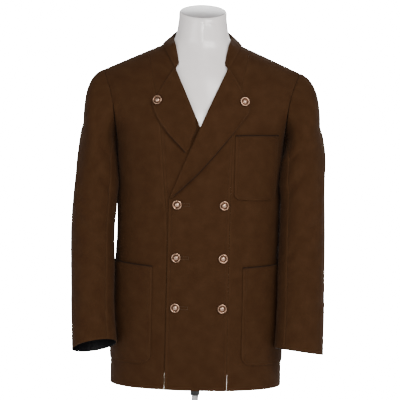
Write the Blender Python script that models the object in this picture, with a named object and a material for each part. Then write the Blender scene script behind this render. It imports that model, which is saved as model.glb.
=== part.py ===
# Double-breasted blazer with a stand collar, worn by a limbless dress form on a small stand.
# Metres, +Z up, the front faces -Y and +X is the wearer's left. The origin is under the base plate.
import bpy
import math
import numpy as np

# Driving sizes of the coat
CLOTH = 0.0017
SEAM = 0.0003
TURN_LENGTH = 0.19
SIDE_SEAM_TURN = 0.0008
CENTRE_BACK_TURN = SEAM / 0.24
HEM_HEIGHT = 0.150
ARMPIT_HEIGHT = 0.685
SHOULDER_HEIGHT = 0.868
SHOULDER_HALF = 0.225
SHOULDER_SLOPE = 0.445
RIDGE_Y = 0.005
NECK_HALF = 0.090
BACK_NECK_HEIGHT = 0.925
YOKE_HALF = 0.255
YOKE_FRONT = 0.121
YOKE_BACK = 0.126
YOKE_POWER = 1.9
YOKE_BLEND = 0.5
BODY_POWER = 2.5

# Driving sizes of the front
OVERLAP_X = 0.068
OVERLAP_TOP = 0.577
BREAK_HEIGHT = 0.732
NOTCH_X = 0.058
NOTCH_HEIGHT = 0.868
OVER_LIFT = 0.0027
LAPEL_WALL = 0.0016
LAPEL_EDGE_LIFT = 0.0016
LAPEL_FOOT_LIFT = 0.0006
LAPEL_TOP_BOW = 0.010
LAPEL_FLAT_COLUMNS = 5
PANEL_COLUMN = 0.0215
POCKET_LIFT = 2 * SEAM

# Driving sizes of the collar: an oval round the neck, and how far its top drops at the sides and ends
COLLAR_WALL = 0.0022
COLLAR_RIDGE_SHARE = 9 / 13
COLLAR_HALF = 0.068
COLLAR_BACK = 0.062
COLLAR_FRONT = 0.118
COLLAR_MIDDLE_Y = 0.003
COLLAR_TURN = math.radians(127)
COLLAR_TOP = 0.964
COLLAR_SLOPE = 0.008
COLLAR_SIDE_DROP = 0.033
COLLAR_END_DROP = 0.030
COLLAR_SWELL = 0.003
COLLAR_HALF_COLUMNS = 13
COLLAR_ROWS = 4

# Driving sizes of the sleeves; seams are angles in degrees at the armhole and at the cuff
DEGREE_LENGTH = 0.0011
SLEEVE_SEAM_GAP = 0.17
SLEEVE_FRONT_SEAM = (140.0, 130.0)
SLEEVE_BACK_SEAM = (-120.0, -72.0)
HEAD_MIDDLE = 0.700
HEAD_TILT = 0.045
CUFF_REACH = 0.050

# Driving sizes of the buttons
BUTTON_RADIUS = 0.0103
BUTTON_ROWS = (0.565, 0.4465, 0.335)
BUTTON_COLUMNS = {"right": -0.048, "left": 0.056}
LAPEL_BUTTON_X = 0.096
LAPEL_BUTTON_HEIGHT = 0.795
BUTTON_PROFILE = (
    (0.0, 0.0), (0.0022, 0.0), (0.0022, 0.0022), (0.0085, 0.0024), (BUTTON_RADIUS, 0.0034),
    (BUTTON_RADIUS - 0.0012, 0.0048), (0.0076, 0.0040), (0.0045, 0.0052), (0.0, 0.0057),
)

# Driving sizes of the form and its stand
FORM_BOTTOM = 0.205
FORM_TOP = 1.003
NECK_RADIUS = 0.055
CAP_TILT = math.radians(21)
NECK_JOIN = (0.895, 0.950)
NECK_MIDDLE_Y = -0.008
SOCKET_RADIUS = 0.011
SOCKET_COLLAR_RADIUS = 0.024
SOCKET_BOTTOM = 0.117
POLE_RADIUS = 0.008
POLE_FOOT_RADIUS = 0.014
BASE_RADIUS = 0.145
BASE_HEIGHT = 0.012

# Sections of the body below the armpits: height, half width, front depth, back depth
BODY_SECTIONS = (
    (0.150, 0.1975, 0.122, 0.120),
    (0.250, 0.1965, 0.122, 0.121),
    (0.350, 0.1935, 0.120, 0.118),
    (0.490, 0.1885, 0.117, 0.111),
    (0.600, 0.1885, 0.119, 0.117),
    (0.685, 0.1905, 0.121, 0.124),
)

# The armhole's edge: share of the rise from armpit to shoulder ridge, distance from the middle
ARMHOLE_EDGE = (
    (0.00, 0.1905),
    (0.12, 0.1910),
    (0.25, 0.1925),
    (0.40, 0.1950),
    (0.55, 0.1995),
    (0.70, 0.2060),
    (0.85, 0.2150),
    (1.00, 0.2250),
)

# The front's middle edge: level of its row, distance from the middle, height
MIDDLE_EDGE = (
    (0.000, -OVERLAP_X, HEM_HEIGHT),
    (0.798, -OVERLAP_X + 0.001, OVERLAP_TOP),
    (1.102, -0.002, BREAK_HEIGHT),
    (1.553, NOTCH_X, NOTCH_HEIGHT),
    (2.000, NECK_HALF, SHOULDER_HEIGHT + SHOULDER_SLOPE * (SHOULDER_HALF - NECK_HALF)),
)

# The long front seam: level, distance from the middle
FRONT_SEAM = (
    (0.000, 0.0700),
    (0.392, 0.0690),
    (0.798, 0.0700),
    (1.102, 0.0740),
    (1.302, 0.0850),
    (1.554, 0.0980),
    (2.000, 0.1180),
)
RIGHT_SLANT = 0.014

# Lapels from the break up to the notch: x and height on the roll line, x and height on the free edge
LAPEL_STATIONS = {
    "left": (
        (-0.0575, 0.5980, -0.0365, 0.6000),
        (-0.0400, 0.6410, 0.0115, 0.6500),
        (-0.0120, 0.7080, 0.0740, 0.7260),
        (0.0110, 0.7620, 0.1000, 0.7610),
        (NOTCH_X, NOTCH_HEIGHT - 0.001, 0.1090, 0.7870),
    ),
    "right": (
        (0.0245, 0.6885, 0.0325, 0.6803),
        (0.0165, 0.7120, 0.0470, 0.6960),
        (0.0085, 0.7330, 0.0720, 0.7220),
        (0.0150, 0.7640, 0.0960, 0.7560),
        (NOTCH_X, NOTCH_HEIGHT - 0.001, 0.1090, 0.7870),
    ),
}

# Soft roll of a lapel at its fold: distance from the roll line, lift off the chest
LAPEL_ROLL = (
    (-0.0012, 0.0002), (-0.0030, 0.0022), (-0.0016, 0.0054), (0.0040, 0.0068), (0.0130, 0.0060),
)

# Patch pockets: front edge, columns left free at the back, bottom, top, corner radius
POCKETS = {
    "chest": (0.0775, 2.20, 0.577, 0.722, 0.016),
    "lower": (0.1010, 0.35, 0.206, 0.432, 0.022),
}

# Levels of the rows of the panels, with the overlap's top, the lapel's break and its notch
FRONT_LEVELS = (0.0, 0.1, 0.2, 0.3, 0.4, 0.5, 0.6, 0.7, 0.798, 0.9,
                1.0, 1.030, 1.102, 1.250, 1.413, 1.553, 1.750, 1.883, 1.970, 2.0)

# Arms, cuff to head: height, outward centre, forward centre, half width, half depth
ARM_SECTIONS = {
    "right": (
        (0.215, 0.2255, -0.102, 0.0520, 0.0520),
        (0.330, 0.2350, -0.075, 0.0490, 0.0530),
        (0.420, 0.2380, -0.058, 0.0500, 0.0560),
        (0.500, 0.2400, -0.046, 0.0500, 0.0610),
        (0.577, 0.2363, -0.040, 0.0507, 0.0660),
        (0.630, 0.2360, -0.020, 0.0471, 0.0695),
        (0.685, 0.2352, -0.003, 0.0422, 0.0720),
        (0.745, 0.2330, -0.002, 0.0372, 0.0740),
    ),
    "left": (
        (0.215, 0.2305, -0.096, 0.0560, 0.0520),
        (0.330, 0.2340, -0.082, 0.0535, 0.0550),
        (0.420, 0.2345, -0.070, 0.0530, 0.0580),
        (0.500, 0.2355, -0.056, 0.0520, 0.0620),
        (0.577, 0.2354, -0.048, 0.0504, 0.0660),
        (0.630, 0.2355, -0.040, 0.0495, 0.0690),
        (0.685, 0.2373, -0.022, 0.0463, 0.0710),
        (0.745, 0.2365, -0.008, 0.0380, 0.0740),
    ),
}

# Cuffs: middle height, rise per metre towards the outside, rise per metre towards the front
CUFFS = {
    "right": (0.243, -0.20, 0.38),
    "left": (0.239, -0.14, 0.18),
}

# Dress form: height and half width, then height and air between it and the coat
FORM_HALVES = (
    (0.205, 0.150), (0.225, 0.163), (0.350, 0.172), (0.490, 0.168), (0.600, 0.174),
    (0.690, 0.181), (0.750, 0.184), (0.800, 0.190), (0.835, 0.196), (0.862, 0.2015),
)
FORM_GAPS = (
    (0.205, 0.024), (0.35, 0.018), (0.49, 0.015), (0.62, 0.010),
    (0.74, 0.004), (0.80, 0.0026), (0.87, 0.0026), (0.93, 0.0050),
)

# Neck of the form: height, half width, front depth, back depth, place of its middle
NECK_SECTIONS = (
    (0.900, 0.0800, 0.0660, 0.0600, 0.002),
    (0.930, 0.0680, 0.0600, 0.0575, 0.000),
    (0.948, 0.0625, 0.0580, 0.0565, -0.001),
    (0.966, 0.0580, 0.0565, 0.0560, -0.003),
    (0.985, NECK_RADIUS, 0.0560, 0.0550, -0.006),
    (1.003, NECK_RADIUS, 0.0550, 0.0550, NECK_MIDDLE_Y),
)

# Rings of the form, with the share of the width that is left where its bottom and cap are rounded
FORM_RINGS = (0.205, 0.209, 0.220, 0.28, 0.35, 0.42, 0.49, 0.56, 0.62, 0.66, 0.70, 0.74,
              0.77, 0.80, 0.828, 0.848, 0.862, 0.874, 0.886, 0.898, 0.910, 0.922, 0.934,
              0.948, 0.966, 0.985, 1.000, FORM_TOP)
FORM_ROUNDING = {0.205: 0.93, 0.209: 0.975, 1.000: 0.985, FORM_TOP: 0.90}

# Soft folds of the body: turn and height of both ends, width, depth (negative is a ridge)
BODY_FOLDS = (
    (-0.30, 0.392, 0.30, 0.398, 0.013, 0.0014),
    (0.38, 0.312, 0.62, 0.304, 0.012, 0.0016),
    (0.46, 0.580, 0.47, 0.440, 0.016, 0.0022),
    (-0.46, 0.560, -0.47, 0.460, 0.016, 0.0018),
    (-0.70, 0.330, -0.86, 0.230, 0.018, 0.0020),
    (0.85, 0.600, 0.97, 0.660, 0.016, 0.0022),
    (-0.85, 0.600, -0.97, 0.660, 0.016, 0.0022),
    (1.25, 0.520, 1.80, 0.480, 0.020, 0.0026),
    (-1.30, 0.500, -1.75, 0.455, 0.020, 0.0024),
    (1.15, 0.640, 1.55, 0.700, 0.018, 0.0022),
    (-1.15, 0.640, -1.55, 0.700, 0.018, 0.0022),
    (1.60, 0.420, 1.70, 0.230, 0.022, 0.0024),
    (-1.55, 0.400, -1.62, 0.220, 0.022, 0.0024),
)

# Soft folds of a sleeve: angle in degrees and height of both ends, width, depth
SLEEVE_FOLDS = (
    (10, 0.720, 40, 0.560, 0.016, -0.0030),
    (60, 0.520, 120, 0.470, 0.012, 0.0030),
    (50, 0.450, 110, 0.430, 0.011, 0.0026),
    (95, 0.640, 130, 0.600, 0.012, 0.0026),
    (200, 0.560, 280, 0.500, 0.016, 0.0026),
    (240, 0.430, 300, 0.400, 0.014, 0.0022),
    (20, 0.360, 80, 0.320, 0.014, 0.0018),
)


def smooth_step(value):
    value = min(max(value, 0.0), 1.0)
    return value * value * (3 - 2 * value)


def smooth_lookup(rows, column, at):
    """Read a column of a table at any key, on a smooth curve through the rows."""
    last = len(rows) - 1
    at = min(max(at, rows[0][0]), rows[last][0])
    index = 0
    while index < last - 1 and at > rows[index + 1][0]:
        index += 1
    low = rows[index]
    high = rows[index + 1]
    before = rows[max(index - 1, 0)]
    after = rows[min(index + 2, last)]
    span = high[0] - low[0]
    start_slope = (high[column] - before[column]) / (high[0] - before[0]) * span
    end_slope = (after[column] - low[column]) / (after[0] - low[0]) * span
    t = (at - low[0]) / span
    start = (2 * t ** 3 - 3 * t ** 2 + 1) * low[column] + (t ** 3 - 2 * t ** 2 + t) * start_slope
    end = (3 * t ** 2 - 2 * t ** 3) * high[column] + (t ** 3 - t ** 2) * end_slope
    return start + end


def ridge_height(x):
    """Height of the shoulder ridge at a distance from the middle."""
    return SHOULDER_HEIGHT + SHOULDER_SLOPE * (SHOULDER_HALF - abs(x))


def ring_point(turn, height):
    """Body below the armpits: turn is 0 at the centre front, 1 at a side, 2 at the centre back."""
    angle = abs(turn) * math.pi / 2
    half = smooth_lookup(BODY_SECTIONS, 1, height)
    depth = smooth_lookup(BODY_SECTIONS, 2 if angle < math.pi / 2 else 3, height)
    across = abs(math.sin(angle) / half) ** BODY_POWER
    along = abs(math.cos(angle) / depth) ** BODY_POWER
    reach = (across + along) ** (-1 / BODY_POWER)
    return math.copysign(reach, turn) * math.sin(angle), -reach * math.cos(angle)


def yoke_depth(x, rise, facing):
    """Depth of the chest or the back above the armpits, facing -1 to the front, 1 to the back."""
    full = YOKE_FRONT if facing < 0 else YOKE_BACK
    inside = max(1 - (abs(x) / YOKE_HALF) ** YOKE_POWER, 0.0)
    depth = facing * full * inside ** (1 / YOKE_POWER)
    fall = math.sqrt(max(1 - rise * rise, 0.0))
    return RIDGE_Y + (depth - RIDGE_Y) * fall


def body_point(turn, level, facing):
    """Outer face of the body: level is 0 at the hem, 1 at the armpits, 2 at the shoulder ridge."""
    if level <= 1:
        height = HEM_HEIGHT + (ARMPIT_HEIGHT - HEM_HEIGHT) * level
        x, y = ring_point(turn, height)
        return np.array((x, y, height))
    low_x, low_y = ring_point(turn, ARMPIT_HEIGHT)
    rise = math.sin((level - 1) * math.pi / 2)
    x = low_x * smooth_lookup(ARMHOLE_EDGE, 1, rise) / ARMHOLE_EDGE[0][1]
    height = ARMPIT_HEIGHT + (ridge_height(x) - ARMPIT_HEIGHT) * rise
    blend = smooth_step(rise / YOKE_BLEND)
    y = low_y * (1 - blend) + yoke_depth(x, rise, facing) * blend
    return np.array((x, y, height))


def locate(x, height, facing=-1):
    """Turn and level of the point of the front (or back) that has this x and this height."""
    half = smooth_lookup(BODY_SECTIONS, 1, height)
    depth = smooth_lookup(BODY_SECTIONS, 2 if facing < 0 else 3, height)
    level = (height - HEM_HEIGHT) / (ARMPIT_HEIGHT - HEM_HEIGHT)
    low_x = abs(x)
    if level > 1:
        rise = min((height - ARMPIT_HEIGHT) / (ridge_height(x) - ARMPIT_HEIGHT), 1.0)
        level = 1 + math.asin(rise) * 2 / math.pi
        low_x = abs(x) * ARMHOLE_EDGE[0][1] / smooth_lookup(ARMHOLE_EDGE, 1, rise)
    inside = max(1 - (low_x / half) ** BODY_POWER, 0.0)
    turn = math.atan2(low_x, depth * inside ** (1 / BODY_POWER)) * 2 / math.pi
    if facing > 0:
        turn = 2 - turn
    return math.copysign(turn, x), level


def turn_at(x, level):
    """Turn of the point of the front that has this x at this level."""
    height = HEM_HEIGHT + (ARMPIT_HEIGHT - HEM_HEIGHT) * min(level, 1)
    half = smooth_lookup(BODY_SECTIONS, 1, height)
    depth = smooth_lookup(BODY_SECTIONS, 2, height)
    if level > 1:
        rise = math.sin((level - 1) * math.pi / 2)
        x = x * ARMHOLE_EDGE[0][1] / smooth_lookup(ARMHOLE_EDGE, 1, rise)
    inside = max(1 - (x / half) ** BODY_POWER, 0.0)
    return math.atan2(x, depth * inside ** (1 / BODY_POWER)) * 2 / math.pi


def fold_depth(folds, across, height, across_scale):
    """Sum of the soft folds at a place, each a trough that fades out at its ends."""
    total = 0.0
    for start, start_height, end, end_height, width, depth in folds:
        run = np.array(((end - start) * across_scale, end_height - start_height))
        place = np.array(((across - start) * across_scale, height - start_height))
        share = float(place @ run) / float(run @ run)
        away = np.linalg.norm(place - run * min(max(share, 0.0), 1.0)) / width
        total += depth * math.exp(-away * away)
    return total


def over_lift(x, height):
    """How far the wearer's left front is lifted by the front that lies under it."""
    beside = 1 - smooth_step((x - 0.075) / 0.04)
    above = 1 - smooth_step((height - 0.745) / 0.05)
    return OVER_LIFT * beside * above


def grid_normals(points):
    """Outward unit normals of a grid whose columns run round the body and rows run up."""
    across = np.gradient(points, axis=1)
    upward = np.gradient(points, axis=0)
    normals = np.cross(across, upward)
    return normals / np.linalg.norm(normals, axis=2, keepdims=True)


def widen(row):
    """A row of places with one more at each end, so that the normals at a seam are true."""
    first = tuple(2 * a - b for a, b in zip(row[0], row[1]))
    last = tuple(2 * a - b for a, b in zip(row[-1], row[-2]))
    return [first] + list(row) + [last]


def place_on_body(places, facing=-1, lifted=False):
    """Points and normals of the body's outer face for a grid of turn and level pairs."""
    places = [widen(row) for row in places]
    points = np.array([[body_point(turn, level, facing) for turn, level in row] for row in places])
    for row_index, row in enumerate(places):
        for end, step in ((0, 1), (-1, -1)):
            turn, level = row[end + step]
            if level > 1 and abs(abs(turn) - 1) < 0.01:
                edge = points[row_index, end + step]
                points[row_index, end] = 2 * edge - points[row_index, end + 2 * step]
    normals = grid_normals(points)
    lift = np.zeros(points.shape[:2])
    for row_index, row in enumerate(places):
        for column_index, (turn, level) in enumerate(row):
            x, y, height = points[row_index, column_index]
            lift[row_index, column_index] = -fold_depth(BODY_FOLDS, turn, height, TURN_LENGTH)
            if lifted:
                lift[row_index, column_index] += over_lift(x, height)
    points = points + normals * lift[:, :, None]
    return points[:, 1:-1], grid_normals(points)[:, 1:-1]


def make_material(name, colour, roughness, metallic=0.0):
    material = bpy.data.materials.new(name)
    material.use_nodes = True
    shader = material.node_tree.nodes["Principled BSDF"]
    shader.inputs["Base Color"].default_value = (*colour, 1.0)
    shader.inputs["Roughness"].default_value = roughness
    shader.inputs["Metallic"].default_value = metallic
    return material


def add_object(name, vertices, faces, material, smooth=True):
    mesh = bpy.data.meshes.new(name)
    mesh.from_pydata([tuple(float(value) for value in vertex) for vertex in vertices], [], faces)
    mesh.update()
    if smooth:
        mesh.shade_smooth()
        mesh.set_sharp_from_angle(angle=math.radians(40))
    mesh.materials.append(material)
    item = bpy.data.objects.new(name, mesh)
    bpy.context.scene.collection.objects.link(item)
    return item


def sheet_solid(name, outer, inner, material):
    """Closed wall between two grids of points, with a rim on its four edges."""
    rows, columns = outer.shape[:2]
    size = rows * columns
    vertices = list(outer.reshape(size, 3)) + list(inner.reshape(size, 3))
    faces = []
    for row in range(rows - 1):
        for column in range(columns - 1):
            corner = row * columns + column
            above = corner + columns
            for triangle in ((corner, corner + 1, above + 1), (corner, above + 1, above)):
                faces.append(triangle)
                faces.append(tuple(size + index for index in reversed(triangle)))
    for column in range(columns - 1):
        low = column
        high = (rows - 1) * columns + column
        faces.append((low + 1, low, size + low, size + low + 1))
        faces.append((high, high + 1, size + high + 1, size + high))
    for row in range(rows - 1):
        left = row * columns
        right = left + columns - 1
        faces.append((left, left + columns, size + left + columns, size + left))
        faces.append((right + columns, right, size + right, size + right + columns))
    return add_object(name, vertices, faces, material)


def wall(name, points, normals, material, thickness=CLOTH):
    return sheet_solid(name, points, points - normals * thickness, material)


def armhole_levels():
    """Levels of the rows above the armpits, which meet the columns of the sleeve head."""
    steps = [math.radians(180 - 20 * k) for k in range(10)]
    return [1 + (1 + math.cos(step)) / 2 for step in steps]


def front_seam(side, level, gap):
    """Place on the long front seam at a level, moved out from the middle by a gap."""
    x = float(np.interp(level, [row[0] for row in FRONT_SEAM], [row[1] for row in FRONT_SEAM]))
    if side == "right":
        x += RIGHT_SLANT * smooth_step((level - 0.58) * 2)
    return turn_at(x + gap, level), level


def middle_edge(level):
    """Place on the free edge, the roll line or the neckline of a front at a level of its seam."""
    levels = [row[0] for row in MIDDLE_EDGE]
    x = float(np.interp(level, levels, [row[1] for row in MIDDLE_EDGE]))
    height = float(np.interp(level, levels, [row[2] for row in MIDDLE_EDGE]))
    return locate(x, height)


def turned_over(places):
    """Mirror image of rows of places, kept in the order that runs to the wearer's left."""
    return [[(-turn, level) for turn, level in reversed(row)] for row in places]


def row_across(start, end, columns):
    start = np.array(start)
    end = np.array(end)
    return [tuple(start + (end - start) * k / columns) for k in range(columns + 1)]


def front_centre(side, cloth):
    """The wearer's left panel lies on top, the right one is its mirror image underneath."""
    places = [row_across(middle_edge(level), front_seam(side, level, -SEAM / 2), 9)
              for level in FRONT_LEVELS]
    if side == "right":
        places = turned_over(places)
    points, normals = place_on_body(places, lifted=side == "left")
    close_ridge(points, normals, -1)
    return wall("front_centre_" + side, points, normals, cloth)


def close_ridge(points, normals, facing):
    """Cut the top row along the plane of the shoulder seam."""
    for column in range(points.shape[1]):
        if points[-1, column, 2] < ridge_height(points[-1, column, 0]) - 0.004:
            continue
        points[-1, column, 1] = RIDGE_Y + facing * SEAM / 2
        tilt = math.copysign(SHOULDER_SLOPE, points[-1, column, 0])
        upright = np.array((tilt, 0.0, 1.0))
        normals[-1, column] = upright / np.linalg.norm(upright)
        leaning = normals[-2, column] * 0.3 + normals[-1, column] * 0.7
        normals[-2, column] = leaning / np.linalg.norm(leaning)


def front_side_grid(side):
    """Front side panel from its front seam to the side seam and the armhole."""
    ends = FRONT_LEVELS[:10] + tuple(armhole_levels())
    places = [row_across(front_seam(side, level, SEAM / 2), (1 - SIDE_SEAM_TURN, end), 10)
              for level, end in zip(FRONT_LEVELS, ends)]
    if side == "right":
        places = turned_over(places)
    points, normals = place_on_body(places, lifted=side == "left")
    close_ridge(points, normals, -1)
    return points, normals


def neckline_level(turn):
    """Level of the back panel's top edge: the shoulder ridge, or the neckline near the middle."""
    x = abs(body_point(turn, 2, 1)[0])
    share = x / NECK_HALF
    if share >= 1:
        return 2.0
    height = BACK_NECK_HEIGHT + (ridge_height(NECK_HALF) - BACK_NECK_HEIGHT) * share ** 2
    rise = (height - ARMPIT_HEIGHT) / (ridge_height(x) - ARMPIT_HEIGHT)
    return 1 + math.asin(rise) * 2 / math.pi


def back_panel(side, cloth):
    """Back half from the side seam and the armhole to the seam at the centre back."""
    corner = locate(NECK_HALF, ridge_height(NECK_HALF), 1)[0]
    start = 1 + SIDE_SEAM_TURN
    end = 2 - CENTRE_BACK_TURN
    turns = [start + (corner - start) * k / 7 for k in range(7)]
    turns += [corner + (end - corner) * k / 5 for k in range(6)]
    places = [[(turn, level) for turn in turns] for level in FRONT_LEVELS[:10]]
    for level in armhole_levels():
        places.append([(turn, 1 + (neckline_level(turn) - 1) * (level - 1)) for turn in turns])
    if side == "right":
        places = turned_over(places)
    points, normals = place_on_body(places, facing=1)
    close_ridge(points, normals, 1)
    return wall("back_" + side, points, normals, cloth)


def neckline_point(share):
    """Neckline of the body: share is 0 at the centre back and 1 at the front notch."""
    if share < COLLAR_RIDGE_SHARE:
        x = NECK_HALF * math.sin(share / COLLAR_RIDGE_SHARE * math.pi / 2)
        height = BACK_NECK_HEIGHT
        height += (ridge_height(NECK_HALF) - BACK_NECK_HEIGHT) * (x / NECK_HALF) ** 2
        turn, level = locate(max(x, 0.0001), height, 1)
        return body_point(turn, level, 1)
    steps = FRONT_LEVELS[:-6:-1]
    part = (share - COLLAR_RIDGE_SHARE) / (1 - COLLAR_RIDGE_SHARE) * (len(steps) - 1)
    turn, level = middle_edge(float(np.interp(part, range(len(steps)), steps)))
    return body_point(turn, level, -1)


def collar_top_point(share):
    """Top edge of the collar, an oval round the neck that drops to its front ends."""
    angle = COLLAR_TURN * share
    depth = COLLAR_BACK if angle < math.pi / 2 else COLLAR_FRONT
    height = COLLAR_TOP - COLLAR_SLOPE * share
    height -= COLLAR_SIDE_DROP * smooth_step((share - 0.45) / 0.55)
    height -= COLLAR_END_DROP * smooth_step((share - 0.86) / 0.14)
    return np.array((COLLAR_HALF * math.sin(angle), COLLAR_MIDDLE_Y + depth * math.cos(angle), height))


def collar(cloth):
    """One band from the wearer's right front end round the back to the left front end."""
    grid = []
    for row in range(COLLAR_ROWS + 1):
        up = row / COLLAR_ROWS
        line = []
        for column in range(-COLLAR_HALF_COLUMNS, COLLAR_HALF_COLUMNS + 1):
            share = abs(column) / COLLAR_HALF_COLUMNS
            low = neckline_point(share)
            high = collar_top_point(share)
            point = low + (high - low) * up
            swell = COLLAR_SWELL * math.sin(up * math.pi)
            outward = np.array((point[0], point[1], 0.0))
            point = point + outward / np.linalg.norm(outward) * swell
            point[2] += SEAM * 2 * (1 - up)
            point[0] = math.copysign(point[0], column)
            line.append(point)
        grid.append(line)
    grid = np.array(grid)
    return wall("collar", grid, grid_normals(grid), cloth, COLLAR_WALL)


def lapel_rows(stations, rows_per_step):
    """Stations of a lapel with even steps between them."""
    dense = []
    for index in range(len(stations) - 1):
        for step in range(rows_per_step):
            share = step / rows_per_step
            dense.append(np.array(stations[index]) * (1 - share) + np.array(stations[index + 1]) * share)
    dense.append(np.array(stations[-1]))
    return dense


def lapel_places(side):
    """Grid of places from the roll line out to the free edge, with how far each is lifted."""
    grid = []
    lifts = []
    dense = lapel_rows(LAPEL_STATIONS[side], 3)
    for order, (roll_x, roll_height, edge_x, edge_height) in enumerate(dense):
        roll = np.array((roll_x, roll_height))
        edge = np.array((edge_x, edge_height))
        width = np.linalg.norm(edge - roll)
        outward = (edge - roll) / width
        shrink = smooth_step((width - 0.018) / 0.040)
        even = width / 8
        reaches = [reach * shrink + even * k / 2 * (1 - shrink) for k, (reach, lift) in enumerate(LAPEL_ROLL)]
        line = [roll + outward * reach for reach in reaches]
        lift_line = [LAPEL_FOOT_LIFT + (lift - LAPEL_FOOT_LIFT) * shrink for reach, lift in LAPEL_ROLL]
        first = reaches[-1]
        high = lift_line[-1]
        for column in range(1, LAPEL_FLAT_COLUMNS + 1):
            share = column / LAPEL_FLAT_COLUMNS
            line.append(roll + outward * (first + (width - first) * share))
            lift_line.append(high + (LAPEL_EDGE_LIFT - high) * smooth_step(share * 1.3))
        if order == len(dense) - 1:
            for column in range(len(LAPEL_ROLL), len(line)):
                share = (column - len(LAPEL_ROLL) + 1) / LAPEL_FLAT_COLUMNS
                bow = LAPEL_TOP_BOW * share * (1 - share)
                line[column] = line[column] + np.array((0.4, 1.0)) * bow
        grid.append([locate(x, height) for x, height in line])
        lifts.append(lift_line)
    if side == "right":
        grid = turned_over(grid)
        lifts = [list(reversed(row)) for row in lifts]
    return grid, np.array(lifts)


def lapel(side, cloth):
    """The faced front edge, rolled back on the chest and held by its corner button."""
    places, lift = lapel_places(side)
    base = np.array([[body_point(turn, level, -1) for turn, level in row] for row in places])
    if side == "left":
        for row in range(lift.shape[0]):
            for column in range(lift.shape[1]):
                lift[row, column] += over_lift(base[row, column, 0], base[row, column, 2])
    points = base + base_normals(places) * (lift + LAPEL_WALL)[:, :, None]
    return wall("lapel_" + side, points, grid_normals(points), cloth, LAPEL_WALL)


def base_normals(places):
    """Normals of the body itself at places whose order folds back on itself."""
    step = 0.004
    result = []
    for row in places:
        line = []
        for turn, level in row:
            across = body_point(turn + step, level, -1) - body_point(turn - step, level, -1)
            upward = body_point(turn, level + step, -1) - body_point(turn, level - step, -1)
            normal = np.cross(across, upward)
            line.append(normal / np.linalg.norm(normal))
        result.append(line)
    return np.array(result)


def grid_between(values, start, end):
    """Positions from start to end that keep every whole number between them."""
    inside = [k for k in range(values) if start + 0.2 < k < end - 0.2]
    return [start] + inside + [end]


def sample_grid(grid, row, column):
    """Point of a grid between its own points."""
    low_row = min(int(row), grid.shape[0] - 2)
    low_column = min(int(column), grid.shape[1] - 2)
    up = row - low_row
    over = column - low_column
    low = grid[low_row, low_column] * (1 - over) + grid[low_row, low_column + 1] * over
    high = grid[low_row + 1, low_column] * (1 - over) + grid[low_row + 1, low_column + 1] * over
    return low * (1 - up) + high * up


def patch_pocket(name, panel, sizes, side, cloth):
    """Pocket that lies on the points of its panel, moved out, with rounded lower corners."""
    points, normals = panel
    front, back, bottom, top, corner = sizes
    rows = points.shape[0]
    columns = points.shape[1]
    heights = points[:, columns // 2, 2]
    low = float(np.interp(bottom, heights, range(rows)))
    high = float(np.interp(top, heights, range(rows)))
    row_places = grid_between(rows, low, high)
    first = row_places[1] - low
    row_places[1:1] = [low + first * 0.1, low + first * 0.35]
    ends = []
    for row in row_places:
        across = np.array([sample_grid(points, row, k)[0] for k in range(columns)])
        if side == "right":
            start = columns - 1 - float(np.interp(-front, across, range(columns)))
        else:
            start = float(np.interp(front, across, range(columns)))
        end = columns - 1 - back
        height = float(np.interp(row, range(rows), heights)) - bottom
        inset = corner - math.sqrt(max(corner ** 2 - max(corner - height, 0.0) ** 2, 0.0))
        start += inset / PANEL_COLUMN
        end -= inset / PANEL_COLUMN
        ends.append((start, end))
    first = min(start for start, end in ends)
    last = max(end for start, end in ends)
    shared = [k for k in range(columns) if first + 0.15 < k < last - 0.15]
    grid = []
    for start, end in ends:
        # columns that a rounded corner cuts off stay in order as narrow strips beside it
        inside = [min(max(k, start + 0.05 * (order + 1)), end - 0.05 * (len(shared) - order))
                  for order, k in enumerate(shared)]
        places = [start] + inside + [end]
        if side == "right":
            places = [columns - 1 - place for place in reversed(places)]
        grid.append(places)
    under = np.array([[sample_grid(points, row, place) for place in places]
                      for row, places in zip(row_places, grid)])
    outward = np.array([[sample_grid(normals, row, place) for place in places]
                        for row, places in zip(row_places, grid)])
    outward = outward / np.linalg.norm(outward, axis=2, keepdims=True)
    inner = under + outward * POCKET_LIFT
    return sheet_solid(name, inner + outward * CLOTH, inner, cloth)


def armhole_point(angle):
    """Edge of the armhole: angle 0 is the shoulder, 90 the front, 180 the armpit, 270 the back."""
    facing = -1 if angle <= 180 else 1
    level = 1 + (1 + math.cos(math.radians(angle))) / 2
    point = body_point(1 if facing < 0 else 1.00001, level, facing)
    return np.array((point[0] + SEAM, point[1], point[2]))


def arm_point(angle, height, side):
    """Horizontal section of a sleeve on the side where x is positive."""
    rows = ARM_SECTIONS[side]
    turn = math.radians(angle)
    outward = smooth_lookup(rows, 1, height) + smooth_lookup(rows, 3, height) * math.cos(turn)
    forward = smooth_lookup(rows, 2, height) - smooth_lookup(rows, 4, height) * math.sin(turn)
    return np.array((outward, forward, height))


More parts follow.
